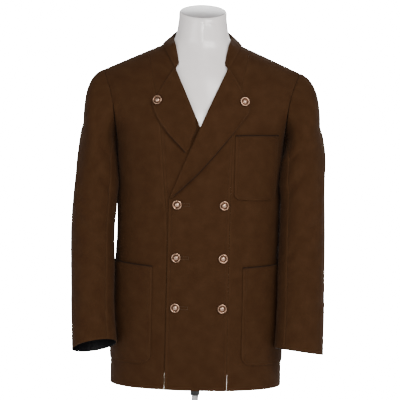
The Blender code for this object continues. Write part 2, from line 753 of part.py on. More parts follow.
def sleeve_point(angle, along, side):
    """Outer face of a sleeve: along is 0 at the armhole, 1 below its head and 2 at the cuff."""
    turn = math.radians(angle)
    cuff_middle, cuff_out, cuff_forward = CUFFS[side]
    down = max(along - 1, 0.0)
    height = HEAD_MIDDLE + (cuff_middle - HEAD_MIDDLE) * down
    height += HEAD_TILT * math.cos(turn) * (1 - down) ** 2
    height += CUFF_REACH * (cuff_out * math.cos(turn) + cuff_forward * math.sin(turn)) * down ** 2
    low = arm_point(angle, height, side)
    if along >= 1:
        return low
    start = armhole_point(angle % 360)
    under = (1 - math.cos(turn)) / 2
    reach = np.linalg.norm(low - start)
    leave = np.array((0.35 + 0.65 * (1 - under), -0.35 * math.sin(turn), -0.36 - 0.64 * under))
    leave = leave / np.linalg.norm(leave)
    first = start + leave * reach * (0.27 + 0.08 * under)
    second = low + np.array((0.0, 0.0, 1.0)) * reach * (0.45 - 0.10 * under)
    t = along
    return (start * (1 - t) ** 3 + first * 3 * t * (1 - t) ** 2
            + second * 3 * t * t * (1 - t) + low * t ** 3)


def sleeve_piece(name, side, start_angles, end_angles, columns, cloth):
    """Strip of the sleeve between two seams, whose angles change from armhole to cuff."""
    alongs = [k / 5 for k in range(5)] + [1 + k / 12 for k in range(13)]
    grid = []
    for along in alongs:
        share = along / 2
        start = start_angles[0] + (start_angles[1] - start_angles[0]) * share
        end = end_angles[0] + (end_angles[1] - end_angles[0]) * share
        line = []
        for column in range(-1, columns + 2):
            line.append(start + (end - start) * column / columns)
        grid.append(line)
    bare = np.array([[sleeve_point(angle, along, side) for angle in line]
                     for line, along in zip(grid, alongs)])
    normals = grid_normals(bare)
    folds = np.array([[fold_depth(SLEEVE_FOLDS, angle % 360, point[2], DEGREE_LENGTH)
                       for angle, point in zip(line, row)] for line, row in zip(grid, bare)])
    points = bare - normals * folds[:, :, None]
    points = points[::-1]
    if side == "right":
        points[:, :, 0] *= -1
    else:
        points = points[:, ::-1]
    normals = grid_normals(points)[:, 1:-1]
    upper = normals[-1, :, 2] > 0.3
    normals[-1, upper, 0] = 0.0  # the wall's upper end is cut flush with the armhole
    normals[-1] /= np.linalg.norm(normals[-1], axis=1, keepdims=True)
    return wall(name, points[:, 1:-1], normals, cloth)


def sleeve(side, cloth):
    """Top sleeve round the outside and under sleeve next to the body."""
    top_start = [angle + SLEEVE_SEAM_GAP for angle in SLEEVE_BACK_SEAM]
    top_end = [angle - SLEEVE_SEAM_GAP for angle in SLEEVE_FRONT_SEAM]
    under_start = [angle + SLEEVE_SEAM_GAP for angle in SLEEVE_FRONT_SEAM]
    under_end = [360 + angle - SLEEVE_SEAM_GAP for angle in SLEEVE_BACK_SEAM]
    sleeve_piece("top_sleeve_" + side, side, top_start, top_end, 13, cloth)
    sleeve_piece("under_sleeve_" + side, side, under_start, under_end, 5, cloth)


def turned_solid(name, profile, material, sides, frame=None):
    """Body of revolution of (radius, height) pairs from its lower pole to its upper pole."""
    vertices = [(0.0, 0.0, profile[0][1])]
    for radius, height in profile[1:-1]:
        for k in range(sides):
            angle = 2 * math.pi * k / sides
            vertices.append((radius * math.cos(angle), radius * math.sin(angle), height))
    vertices.append((0.0, 0.0, profile[-1][1]))
    rings = len(profile) - 2
    faces = []
    for k in range(sides):
        after = (k + 1) % sides
        faces.append((0, 1 + after, 1 + k))
        for ring in range(rings - 1):
            low = 1 + ring * sides
            faces.append((low + k, low + after, low + sides + after, low + sides + k))
        top = 1 + (rings - 1) * sides
        faces.append((top + k, top + after, len(vertices) - 1))
    if frame is not None:
        origin, across, upward, outward = frame
        vertices = [origin + across * x + upward * y + outward * z for x, y, z in vertices]
    return add_object(name, vertices, faces, material)


def button(name, origin, outward, metal):
    """Domed shank button: shank on the cloth, back, rim and a raised centre."""
    across = np.cross(np.array((0.0, 0.0, 1.0)), outward)
    across = across / np.linalg.norm(across)
    upward = np.cross(outward, across)
    return turned_solid(name, BUTTON_PROFILE, metal, 16, (origin, across, upward, outward))


def seat_buttons(metal, lapels):
    """Two columns on the front that lies on top, and one button on each lapel's corner."""
    for row_name, height in zip(("upper", "middle", "lower"), BUTTON_ROWS):
        for side, x in BUTTON_COLUMNS.items():
            spot, outward = front_spot(x, height)
            button("button_" + row_name + "_" + side, spot + outward * SEAM, outward, metal)
    for side, piece in lapels.items():
        spot, outward = lapel_spot(side, piece)
        button("button_lapel_" + side, spot + outward * SEAM, outward, metal)


def front_spot(x, height):
    """Point and normal of the lifted front at a button."""
    turn, level = locate(x, height)
    reach = 0.004
    near = [[(turn + a * reach, level + b * reach) for a in (-1, 0, 1)] for b in (-1, 0, 1)]
    points, normals = place_on_body(near, lifted=True)
    return points[1, 1] + normals[1, 1] * 0.0005, normals[1, 1]


def lapel_spot(side, piece):
    """Highest point of the lapel's face under its button, and the direction away from it."""
    x = LAPEL_BUTTON_X * (1 if side == "left" else -1)
    turn, level = locate(x, LAPEL_BUTTON_HEIGHT)
    outward = base_normals([[(turn, level)]])[0, 0]
    centre = body_point(turn, level, -1)
    reach = 0.0
    for vertex in piece.data.vertices:
        point = np.array(vertex.co)
        away = point - centre
        height = float(away @ outward)
        if np.linalg.norm(away - outward * height) < 0.016:
            reach = max(reach, height)
    return centre + outward * reach, outward


def form_half_width(height):
    """Half width of the dress form, which stays inside the armholes and the shoulders."""
    if height > FORM_HALVES[-1][0]:
        ridge = SHOULDER_HALF - (height + 0.0036 - SHOULDER_HEIGHT) / SHOULDER_SLOPE
        return min(FORM_HALVES[-1][1], ridge)
    return smooth_lookup(FORM_HALVES, 1, height)


def torso_point(angle, height):
    """Section of the form inside the coat; the angle is 0 at the front and 90 at the side."""
    half = form_half_width(height)
    x = half * math.sin(angle)
    facing = -1 if math.cos(angle) >= 0 else 1
    inset = CLOTH + smooth_lookup(FORM_GAPS, 1, height)
    if height <= ARMPIT_HEIGHT:
        body_half = smooth_lookup(BODY_SECTIONS, 1, height)
        depth = smooth_lookup(BODY_SECTIONS, 2 if facing < 0 else 3, height)
        share = max(1 - (abs(x) / body_half) ** BODY_POWER, 0.0)
        y = facing * depth * share ** (1 / BODY_POWER)
    else:
        rise = min((height + inset * 0.6 - ARMPIT_HEIGHT) / (ridge_height(x) - ARMPIT_HEIGHT), 1.0)
        low_x = abs(x) * ARMHOLE_EDGE[0][1] / smooth_lookup(ARMHOLE_EDGE, 1, rise)
        body_half = BODY_SECTIONS[-1][1]
        depth = BODY_SECTIONS[-1][2 if facing < 0 else 3]
        share = max(1 - (low_x / body_half) ** BODY_POWER, 0.0)
        low_y = facing * depth * share ** (1 / BODY_POWER)
        blend = smooth_step(rise / YOKE_BLEND)
        y = low_y * (1 - blend) + yoke_depth(x, rise, facing) * blend
    middle = RIDGE_Y if height > ARMPIT_HEIGHT else 0.0
    depth_here = max(abs(y - middle) - inset, 0.0)
    rounding = max(1 - (abs(x) / half) ** 6, 0.0) ** 0.5
    return x, middle + facing * depth_here * rounding


def neck_point(angle, height):
    """Section of the neck, which flares out to the shoulders."""
    half = smooth_lookup(NECK_SECTIONS, 1, height)
    depth = smooth_lookup(NECK_SECTIONS, 2 if math.cos(angle) >= 0 else 3, height)
    middle = smooth_lookup(NECK_SECTIONS, 4, height)
    return half * math.sin(angle), middle - depth * math.cos(angle)


def dress_form(white):
    """Smooth closed torso without limbs, with a slanted flat cap on its neck."""
    sides = 36
    vertices = []
    for height in FORM_RINGS:
        shrink = FORM_ROUNDING.get(height, 1.0)
        blend = smooth_step((height - NECK_JOIN[0]) / (NECK_JOIN[1] - NECK_JOIN[0]))
        tilt = math.tan(CAP_TILT) * smooth_step((height - 0.955) / 0.045)
        for k in range(sides):
            angle = 2 * math.pi * (k + 0.5) / sides
            torso_x, torso_y = torso_point(angle, height) if blend < 1 else (0.0, 0.0)
            neck_x, neck_y = neck_point(angle, height)
            x = torso_x * (1 - blend) + neck_x * blend
            y = torso_y * (1 - blend) + neck_y * blend
            middle = NECK_MIDDLE_Y * blend
            x = x * shrink
            y = middle + (y - middle) * shrink
            vertices.append((x, y, height + tilt * (y - middle)))
    faces = []
    for ring in range(len(FORM_RINGS) - 1):
        for k in range(sides):
            after = (k + 1) % sides
            low = ring * sides
            faces.append((low + k, low + after, low + sides + after, low + sides + k))
    top = (len(FORM_RINGS) - 1) * sides
    faces.append(tuple(reversed(range(sides))))
    faces.append(tuple(range(top, top + sides)))
    return add_object("dress_form", vertices, faces, white)


def stand(dark, pale):
    """Socket under the form, pole and round base plate."""
    socket_top = FORM_BOTTOM - SEAM
    turned_solid("pole_socket", (
        (0.0, SOCKET_BOTTOM), (SOCKET_RADIUS - 0.001, SOCKET_BOTTOM),
        (SOCKET_RADIUS, SOCKET_BOTTOM + 0.001), (SOCKET_RADIUS, socket_top - 0.006),
        (SOCKET_COLLAR_RADIUS, socket_top - 0.004), (SOCKET_COLLAR_RADIUS, socket_top),
        (0.0, socket_top)), dark, 28)
    turned_solid("stand_pole", (
        (0.0, BASE_HEIGHT + SEAM), (POLE_FOOT_RADIUS, BASE_HEIGHT + SEAM),
        (POLE_FOOT_RADIUS, BASE_HEIGHT + 0.006), (POLE_RADIUS, BASE_HEIGHT + 0.009),
        (POLE_RADIUS, SOCKET_BOTTOM - SEAM),
        (0.0, SOCKET_BOTTOM - SEAM)), pale, 24)
    turned_solid("base_plate", (
        (0.0, 0.0), (BASE_RADIUS - 0.002, 0.0), (BASE_RADIUS, 0.002), (BASE_RADIUS, BASE_HEIGHT - 0.003),
        (BASE_RADIUS - 0.003, BASE_HEIGHT), (0.0, BASE_HEIGHT)), pale, 48)


def clear_scene():
    for item in list(bpy.data.objects):
        bpy.data.objects.remove(item, do_unlink=True)


def main():
    clear_scene()
    cloth = make_material("brown_cloth", (0.052, 0.022, 0.010), 0.85)
    metal = make_material("aged_copper", (0.42, 0.27, 0.17), 0.35, 1.0)
    white = make_material("white_gloss", (0.82, 0.82, 0.83), 0.25)
    dark = make_material("black_metal", (0.01, 0.01, 0.01), 0.4, 0.6)
    pale = make_material("pale_metal", (0.80, 0.80, 0.80), 0.3, 0.2)
    lapels = {}
    for side in ("left", "right"):
        front_centre(side, cloth)
        points, normals = front_side_grid(side)
        wall("front_side_" + side, points, normals, cloth)
        patch_pocket("lower_pocket_" + side, (points, normals), POCKETS["lower"], side, cloth)
        if side == "left":
            patch_pocket("chest_pocket", (points, normals), POCKETS["chest"], side, cloth)
        back_panel(side, cloth)
        sleeve(side, cloth)
        lapels[side] = lapel(side, cloth)
    collar(cloth)
    seat_buttons(metal, lapels)
    dress_form(white)
    stand(dark, pale)


main()
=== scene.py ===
import bpy
import math
import numpy as np
from mathutils import Euler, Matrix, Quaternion


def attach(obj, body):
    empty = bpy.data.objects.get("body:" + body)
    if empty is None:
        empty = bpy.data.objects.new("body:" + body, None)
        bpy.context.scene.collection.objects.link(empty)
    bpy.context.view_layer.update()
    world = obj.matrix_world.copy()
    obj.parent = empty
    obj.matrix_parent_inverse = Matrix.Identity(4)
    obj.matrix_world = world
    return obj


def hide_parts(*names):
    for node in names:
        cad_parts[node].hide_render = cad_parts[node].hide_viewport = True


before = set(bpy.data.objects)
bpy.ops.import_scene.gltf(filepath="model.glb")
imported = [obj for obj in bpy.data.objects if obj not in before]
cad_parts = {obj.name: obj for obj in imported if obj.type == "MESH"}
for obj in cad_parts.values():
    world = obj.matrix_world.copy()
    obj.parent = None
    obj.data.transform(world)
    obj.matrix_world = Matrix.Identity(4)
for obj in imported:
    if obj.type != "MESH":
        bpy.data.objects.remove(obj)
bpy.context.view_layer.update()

# The coat's own form, in metres: +Z up, the front faces -Y, +X is the wearer's left
coat = {
    "hem": 0.15,
    "armpit": 0.685,
    "shoulder": 0.868,
    "shoulderHalf": 0.225,
    "shoulderSlope": 0.445,
    "ridgeY": 0.005,
    "neckHalf": 0.09,
    "backNeck": 0.925,
    "yokeHalf": 0.255,
    "yokeFront": 0.121,
    "yokeBack": 0.126,
    "yokePower": 1.9,
    "yokeBlend": 0.5,
    "bodyPower": 2.5,
    "clothThick": 0.0017,
    "seamGap": 0.0003,
    "overLift": 0.0027,
    "overSide": 0.075,
    "overTop": 0.745,
    "step": 0.0048,
    "rimRound": 0.0001,
    "paleEdge": 0.0035,
    "threadLift": 0.0001,
    "turnWidth": 0.19,  # metres of cloth for one turn, on average
}
bodySections = (  # height, half width, front depth, back depth
    (0.15, 0.1975, 0.122, 0.12), (0.25, 0.1965, 0.122, 0.121), (0.35, 0.1935, 0.12, 0.118),
    (0.49, 0.1885, 0.117, 0.111), (0.6, 0.1885, 0.119, 0.117), (0.685, 0.1905, 0.121, 0.124),
)
armholeEdge = (  # share of the rise from armpit to shoulder, distance from the middle
    (0.0, 0.1905), (0.12, 0.191), (0.25, 0.1925), (0.4, 0.195),
    (0.55, 0.1995), (0.7, 0.206), (0.85, 0.215), (1.0, 0.225),
)
middleEdge = (  # level of the row, distance from the middle, height
    (0.0, -0.068, 0.15), (0.798, -0.067, 0.577), (1.102, -0.002, 0.732),
    (1.553, 0.058, 0.868), (2.0, 0.09, 0.928075),
)
frontSeam = (  # level, distance from the middle
    (0.0, 0.07), (0.392, 0.069), (0.798, 0.07), (1.102, 0.074),
    (1.302, 0.085), (1.554, 0.098), (2.0, 0.118),
)
armSections = {  # height, outward centre, forward centre, half width, half depth
    "right": (
        (0.215, 0.2255, -0.102, 0.052, 0.052), (0.33, 0.235, -0.075, 0.049, 0.053),
        (0.42, 0.238, -0.058, 0.05, 0.056), (0.5, 0.24, -0.046, 0.05, 0.061),
        (0.577, 0.2363, -0.04, 0.0507, 0.066), (0.63, 0.236, -0.02, 0.0471, 0.0695),
        (0.685, 0.2352, -0.003, 0.0422, 0.072), (0.745, 0.233, -0.002, 0.0372, 0.074),
    ),
    "left": (
        (0.215, 0.2305, -0.096, 0.056, 0.052), (0.33, 0.234, -0.082, 0.0535, 0.055),
        (0.42, 0.2345, -0.07, 0.053, 0.058), (0.5, 0.2355, -0.056, 0.052, 0.062),
        (0.577, 0.2354, -0.048, 0.0504, 0.066), (0.63, 0.2355, -0.04, 0.0495, 0.069),
        (0.685, 0.2373, -0.022, 0.0463, 0.071), (0.745, 0.2365, -0.008, 0.038, 0.074),
    ),
}
cuffSlopes = {  # middle height, rise towards the outside, rise towards the front
    "right": (0.243, -0.2, 0.38),
    "left": (0.239, -0.14, 0.18),
}

# Creases of the body: turn and height of both ends, width, depth, how much the cloth swells beside it
bodyCreases = (
    (-0.3, 0.392, 0.3, 0.398, 0.013, 0.0014, 0.2),
    (0.38, 0.312, 0.62, 0.304, 0.012, 0.0016, 0.3),
    (0.46, 0.58, 0.47, 0.44, 0.016, 0.0022, 0.0),
    (-0.46, 0.56, -0.47, 0.46, 0.016, 0.0018, 0.0),
    (-0.7, 0.33, -0.86, 0.23, 0.018, 0.002, 0.0),
    (0.85, 0.6, 0.97, 0.66, 0.016, 0.0022, 0.2),
    (-0.85, 0.6, -0.97, 0.66, 0.016, 0.0022, 0.2),
    (1.25, 0.52, 1.8, 0.48, 0.02, 0.0026, 0.3),
    (-1.3, 0.5, -1.75, 0.455, 0.02, 0.0024, 0.3),
    (1.15, 0.64, 1.55, 0.7, 0.018, 0.0022, 0.2),
    (-1.15, 0.64, -1.55, 0.7, 0.018, 0.0022, 0.2),
    (1.6, 0.42, 1.7, 0.23, 0.022, 0.0024, 0.0),
    (-1.55, 0.4, -1.62, 0.22, 0.022, 0.0024, 0.0),
    # finer ones
    (-0.24, 0.3945, 0.26, 0.3925, 0.0058, -0.001, 0.5),
    (-0.2, 0.442, 0.16, 0.432, 0.008, 0.0007, 0.5),
    (-0.34, 0.505, -0.6, 0.47, 0.009, 0.0007, 0.4),
    (-0.62, 0.64, -0.36, 0.585, 0.011, 0.001, 0.4),
    (0.66, 0.52, 0.5, 0.47, 0.01, 0.0008, 0.4),
    (0.6, 0.34, 0.74, 0.235, 0.013, 0.0014, 0.5),
    (0.5, 0.262, 0.78, 0.198, 0.011, 0.0012, 0.5),
    (0.3, 0.25, 0.42, 0.178, 0.012, 0.0009, 0.4),
    (-0.55, 0.392, -0.72, 0.372, 0.009, 0.0007, 0.4),
    (-0.62, 0.195, -0.84, 0.18, 0.011, 0.0009, 0.3),
    (0.05, 0.3, 0.24, 0.285, 0.008, 0.0006, 0.4),
    (-0.1, 0.24, 0.05, 0.19, 0.012, 0.0007, 0.3),
    (-0.8, 0.455, -0.95, 0.425, 0.011, 0.0012, 0.4),
    (0.82, 0.445, 0.96, 0.47, 0.011, 0.0012, 0.4),
    (-0.44, 0.8, -0.6, 0.73, 0.012, 0.0009, 0.3),
    (0.7, 0.82, 0.84, 0.77, 0.01, 0.001, 0.5),
    (-0.7, 0.815, -0.86, 0.76, 0.01, 0.0009, 0.5),
    (1.1, 0.43, 1.42, 0.445, 0.012, 0.0012, 0.4),
    (-1.08, 0.455, -1.4, 0.43, 0.012, 0.0012, 0.4),
    (1.72, 0.85, 1.4, 0.8, 0.014, 0.0012, 0.4),
    (-1.74, 0.845, -1.42, 0.805, 0.014, 0.0012, 0.4),
    (1.3, 0.33, 1.58, 0.3, 0.013, 0.0011, 0.3),
    (-1.24, 0.3, -1.5, 0.33, 0.013, 0.0011, 0.3),
)
# Creases of a sleeve: angle and height of both ends, width, depth, swell
sleeveCreases = (
    (10, 0.72, 40, 0.56, 0.016, -0.003, 0.0),
    (60, 0.52, 120, 0.47, 0.012, 0.003, 0.2),
    (50, 0.45, 110, 0.43, 0.011, 0.0026, 0.2),
    (95, 0.64, 130, 0.6, 0.012, 0.0026, 0.2),
    (200, 0.56, 280, 0.5, 0.016, 0.0026, 0.2),
    (240, 0.43, 300, 0.4, 0.014, 0.0022, 0.2),
    (20, 0.36, 80, 0.32, 0.014, 0.0018, 0.2),
    # finer ones
    (30, 0.585, 85, 0.548, 0.009, 0.0013, 0.5),
    (70, 0.495, 130, 0.505, 0.007, 0.0011, 0.5),
    (85, 0.41, 135, 0.392, 0.008, 0.0012, 0.5),
    (20, 0.48, 60, 0.47, 0.009, 0.001, 0.4),
    (100, 0.345, 140, 0.3, 0.01, 0.0012, 0.4),
    (330, 0.3, 375, 0.275, 0.01, 0.0009, 0.4),
    (300, 0.54, 345, 0.56, 0.011, 0.0012, 0.4),
    (225, 0.64, 265, 0.6, 0.012, 0.0014, 0.4),
    (250, 0.35, 310, 0.33, 0.011, 0.0011, 0.4),
    (100, 0.7, 128, 0.668, 0.009, 0.0012, 0.4),
)


def smoothStep(value):
    value = np.clip(value, 0.0, 1.0)
    return value * value * (3 - 2 * value)


# A soft step from 0 to 1 that begins at start
def softRamp(value, start, run):
    return smoothStep((value - start) / run)


def curveAt(rows, column, at):
    keys = np.array([row[0] for row in rows])
    values = np.array([row[column] for row in rows])
    at = np.clip(at, keys[0], keys[-1])
    last = len(keys) - 1
    index = np.clip(np.searchsorted(keys, at, side="left") - 1, 0, last - 1)
    before = np.maximum(index - 1, 0)
    after = np.minimum(index + 2, last)
    span = keys[index + 1] - keys[index]
    startSlope = (values[index + 1] - values[before]) / (keys[index + 1] - keys[before]) * span
    endSlope = (values[after] - values[index]) / (keys[after] - keys[index]) * span
    t = (at - keys[index]) / span
    start = (2 * t ** 3 - 3 * t ** 2 + 1) * values[index] + (t ** 3 - 2 * t ** 2 + t) * startSlope
    end = (3 * t ** 2 - 2 * t ** 3) * values[index + 1] + (t ** 3 - t ** 2) * endSlope
    return start + end


def lineAt(rows, column, at):
    return np.interp(at, [row[0] for row in rows], [row[column] for row in rows])


def unit(vectors):
    return vectors / np.maximum(np.linalg.norm(vectors, axis=-1, keepdims=True), 1e-12)


def together(*values):
    return np.broadcast_arrays(*(np.asarray(value, float) for value in values))


def ridgeHeight(x):
    return coat["shoulder"] + coat["shoulderSlope"] * (coat["shoulderHalf"] - np.abs(x))


def ringPoint(turn, height):
    angle = np.abs(turn) * math.pi / 2
    half = curveAt(bodySections, 1, height)
    depth = np.where(angle < math.pi / 2, curveAt(bodySections, 2, height), curveAt(bodySections, 3, height))
    across = np.abs(np.sin(angle) / half) ** coat["bodyPower"]
    along = np.abs(np.cos(angle) / depth) ** coat["bodyPower"]
    reach = (across + along) ** (-1 / coat["bodyPower"])
    return np.copysign(reach, turn) * np.sin(angle), -reach * np.cos(angle)


def ringDepth(x, half, depth):
    return depth * np.maximum(1 - (x / half) ** coat["bodyPower"], 0.0) ** (1 / coat["bodyPower"])


def ringTurn(x, half, depth):
    return np.arctan2(x, ringDepth(x, half, depth)) * 2 / math.pi


def yokeDepth(x, rise, facing):
    full = coat["yokeFront"] if facing < 0 else coat["yokeBack"]
    inside = np.maximum(1 - (np.abs(x) / coat["yokeHalf"]) ** coat["yokePower"], 0.0)
    depth = facing * full * inside ** (1 / coat["yokePower"])
    fall = np.sqrt(np.maximum(1 - rise * rise, 0.0))
    return coat["ridgeY"] + (depth - coat["ridgeY"]) * fall


# Level is 0 at the hem, 1 at the armpits, 2 at the shoulder; turn is 0 in front, 1 at a side, 2 at the back
def lowHeight(level):
    return coat["hem"] + (coat["armpit"] - coat["hem"]) * np.minimum(level, 1)


def riseOf(level):
    return np.sin(np.clip(level - 1, 0, 1) * math.pi / 2)


def riseAt(x, height):
    return np.clip((height - coat["armpit"]) / (ridgeHeight(x) - coat["armpit"]), 0.0, 1.0)


def bodyPoint(turn, level, facing=-1):
    turn, level = together(turn, level)
    height = lowHeight(level)
    lowX, lowY = ringPoint(turn, height)
    rise = riseOf(level)
    x = lowX * np.where(level > 1, curveAt(armholeEdge, 1, rise) / armholeEdge[0][1], 1.0)
    height = height + (ridgeHeight(x) - coat["armpit"]) * rise
    blend = smoothStep(rise / coat["yokeBlend"])
    y = lowY * (1 - blend) + yokeDepth(x, rise, facing) * blend
    return np.stack((x, y, height), axis=-1)


def bodyNormal(turn, level, facing=-1):
    turn, level = together(turn, level)
    step = 0.003
    low, high = (-1.0, 1.0) if facing < 0 else (-3.0, 3.0)
    after = np.minimum(turn + step, high)
    before = np.maximum(turn - step, low)
    if facing > 0:  # the back runs from 1 to 2 on the left and from -2 to -1 on the right
        before = np.where(turn > 0, np.maximum(before, 1.0), before)
        after = np.where(turn < 0, np.minimum(after, -1.0), after)
    over = np.minimum(level + step, 2.0)
    across = bodyPoint(after, level, facing) - bodyPoint(before, level, facing)
    upward = bodyPoint(turn, over, facing) - bodyPoint(turn, over - 2 * step, facing)
    return unit(np.cross(across, upward))


def locate(x, height, facing=-1):
    x, height = together(x, height)
    low = (height - coat["hem"]) / (coat["armpit"] - coat["hem"])
    rise = riseAt(x, height)
    level = np.where(low > 1, 1 + np.arcsin(rise) * 2 / math.pi, low)
    lowX = np.where(low > 1, np.abs(x) * armholeEdge[0][1] / curveAt(armholeEdge, 1, rise), np.abs(x))
    depth = curveAt(bodySections, 2 if facing < 0 else 3, height)
    turn = ringTurn(lowX, curveAt(bodySections, 1, height), depth)
    return np.copysign(2 - turn if facing > 0 else turn, x), level


def turnAt(x, level):
    height = lowHeight(level)
    x = np.where(level > 1, x * armholeEdge[0][1] / curveAt(armholeEdge, 1, riseOf(level)), x)
    return ringTurn(x, curveAt(bodySections, 1, height), curveAt(bodySections, 2, height))


# Creases don't run quite straight: waver goes with both ways, ripple with the height alone
waverLook = {"waver": 0.0035, "across": 95, "upward": 31, "ripple": 0.0025, "often": 140, "start": 1.3}
# Waves of hanging cloth: depth, waves across and upward, how they bend, where they start
waveLook = {
    "slow": {"deep": 0.00035, "across": 58, "bend": 0.7, "often": 21, "upward": 33, "start": 0.6},
    "quick": {"deep": 0.00022, "across": 121, "slant": 47, "start": 1.1, "upward": 88, "lean": 35},
}


# Sum of creases: a trough along a line, with a soft swell on both sides
def creaseSum(creases, across, height, acrossScale):
    look = waverLook
    waver = look["waver"] * np.sin(across * acrossScale * look["across"] + height * look["upward"])
    waver = waver + look["ripple"] * np.sin(height * look["often"] + look["start"])
    total = np.zeros(np.broadcast(across, height).shape)
    for start, startHeight, end, endHeight, width, depth, swell in creases:
        run = np.array(((end - start) * acrossScale, endHeight - startHeight))
        length = np.linalg.norm(run)
        placeX = (across - start) * acrossScale + waver * run[1] / length
        placeZ = height - startHeight + waver * run[0] / length
        share = (placeX * run[0] + placeZ * run[1]) / length ** 2
        beyond = (share - np.clip(share, 0, 1)) * length
        side = (placeZ * run[0] - placeX * run[1]) / length
        reach = (side ** 2 + beyond ** 2) / width ** 2
        total += depth * np.exp(-reach)
        if swell:
            lift = ((np.abs(side) - width * 1.5) ** 2 + beyond ** 2) / width ** 2
            total -= depth * swell * np.exp(-lift)
    return total


def softWaves(across, height):
    slow, quick = waveLook["slow"], waveLook["quick"]
    bent = across * slow["across"] + slow["bend"] * np.sin(height * slow["often"])
    slanted = across * quick["across"] + height * quick["slant"] + quick["start"]
    total = slow["deep"] * np.sin(bent) * np.sin(height * slow["upward"] + slow["start"])
    total += quick["deep"] * np.sin(slanted) * np.sin(height * quick["upward"] + across * quick["lean"])
    return total


# The wearer's left front stands off where it lies over the right one, below the lapels
def overLift(x, height):
    beside = 1 - smoothStep((x - coat["overSide"]) / 0.04)
    above = 1 - smoothStep((height - coat["overTop"]) / 0.05)
    return coat["overLift"] * beside * above


# A point on the coat's outer face with its creases, moved out by lift, and the way out of the cloth there
def onCoat(turn, level, facing=-1, lifted=False, lift=0.0):
    base = bodyPoint(turn, level, facing)
    normal = bodyNormal(turn, level, facing)
    height = base[..., 2]
    fade = smoothStep((height - coat["hem"]) / 0.02) * 0.4 + 0.6
    calm = smoothStep((2.0 - np.asarray(level)) / 0.12)  # the shoulder seam stays where both sides meet
    waves = softWaves(np.asarray(turn) * coat["turnWidth"], height)
    out = (waves - creaseSum(bodyCreases, turn, height, coat["turnWidth"])) * fade * calm
    if lifted:
        out = out + overLift(base[..., 0], height)
    out = out + lift
    return base + normal * out[..., None], normal


# Shares from 0 to 1 with narrow steps at both edges, for seams and stitching lines
def edgeShares(length, step, near=(0.0009, 0.0022, 0.0042, 0.0052, 0.0062, 0.0078)):
    near = [value for value in near if value < length * 0.4]
    inner = length - 2 * near[-1]
    count = max(int(round(inner / step)), 2)
    middle = [near[-1] + inner * k / count for k in range(1, count)]
    places = [0.0] + near + middle + [length - value for value in reversed(near)] + [length]
    return np.array(places) / length


# Where the cloth rises or sinks beside each kind of edge: how far, distance from the edge, spread
edgeKinds = {
    "plain": (),
    "seam": ((-0.0007, 0.0, 0.0017),),
    "stitched": ((0.0005, 0.003, 0.002), (-0.0006, 0.006, 0.0012)),
    "seamStitched": ((-0.0007, 0.0, 0.0015), (-0.0005, 0.006, 0.0011)),
}


def edgeRelief(distance, kind):
    relief = np.zeros_like(distance)
    for rise, middle, spread in edgeKinds[kind]:
        relief = relief + rise * np.exp(-((distance - middle) / spread) ** 2)
    return relief


# Distance of each grid point from the four edges, along the cloth
def edgeDistances(points):
    across = np.linalg.norm(np.diff(points, axis=1), axis=2)
    upward = np.linalg.norm(np.diff(points, axis=0), axis=2)
    left = np.concatenate((np.zeros((points.shape[0], 1)), np.cumsum(across, axis=1)), axis=1)
    low = np.concatenate((np.zeros((1, points.shape[1])), np.cumsum(upward, axis=0)), axis=0)
    return left, left[:, -1:] - left, low, low[-1:] - low


def gridNormals(points):
    return unit(np.cross(np.gradient(points, axis=1), np.gradient(points, axis=0)))


# Materials

def fillInputs(tree, node, inputs):
    for label, value in inputs.items():
        if isinstance(value, bpy.types.NodeSocket):
            tree.links.new(value, node.inputs[label])
        else:
            node.inputs[label].default_value = value


def addNode(tree, kind, inputs=None, **settings):
    node = tree.nodes.new(kind)
    for label, value in settings.items():
        setattr(node, label, value)
    fillInputs(tree, node, inputs or {})
    return node


# A shader group that takes a place and sizes and puts out a tone and a relief
def newGroup(name, sizes):
    group = bpy.data.node_groups.new(name, "ShaderNodeTree")
    group.interface.new_socket("Place", in_out="INPUT", socket_type="NodeSocketVector")
    for label, value in sizes.items():
        group.interface.new_socket(label, in_out="INPUT", socket_type="NodeSocketFloat").default_value = value
    for label in ("Tone", "Relief"):
        group.interface.new_socket(label, in_out="OUTPUT", socket_type="NodeSocketFloat")
    return group, addNode(group, "NodeGroupInput").outputs, addNode(group, "NodeGroupOutput")


# Nap of a brushed wool: soft clouds, short hairs and a faint twill under them
def napGroup():
    group, given, end = newGroup("brushedNap", {"Thread Size": 0.0011, "Cloud Size": 0.03})
    cloudScale = addNode(group, "ShaderNodeMath", {0: 1.0, 1: given["Cloud Size"]}, operation="DIVIDE")
    threadScale = addNode(group, "ShaderNodeMath", {0: 0.7, 1: given["Thread Size"]}, operation="DIVIDE")
    clouds = addNode(group, "ShaderNodeTexNoise", {
        "Vector": given["Place"], "Scale": cloudScale.outputs[0], "Detail": 4.0}).outputs["Fac"]
    hairs = addNode(group, "ShaderNodeTexNoise", {
        "Vector": given["Place"], "Scale": threadScale.outputs[0], "Detail": 5.0,
        "Roughness": 0.7}).outputs["Fac"]
    twill = addNode(group, "ShaderNodeTexWave", {
        "Vector": given["Place"], "Scale": threadScale.outputs[0], "Distortion": 1.2,
        "Detail Scale": 2.0}, bands_direction="DIAGONAL").outputs["Fac"]
    tone = addNode(group, "ShaderNodeMix", {0: 0.45, 2: clouds, 3: hairs}, data_type="FLOAT")
    relief = addNode(group, "ShaderNodeMix", {0: 0.25, 2: hairs, 3: twill}, data_type="FLOAT")
    fillInputs(group, end, {"Tone": tone.outputs[0], "Relief": relief.outputs[0]})
    return group


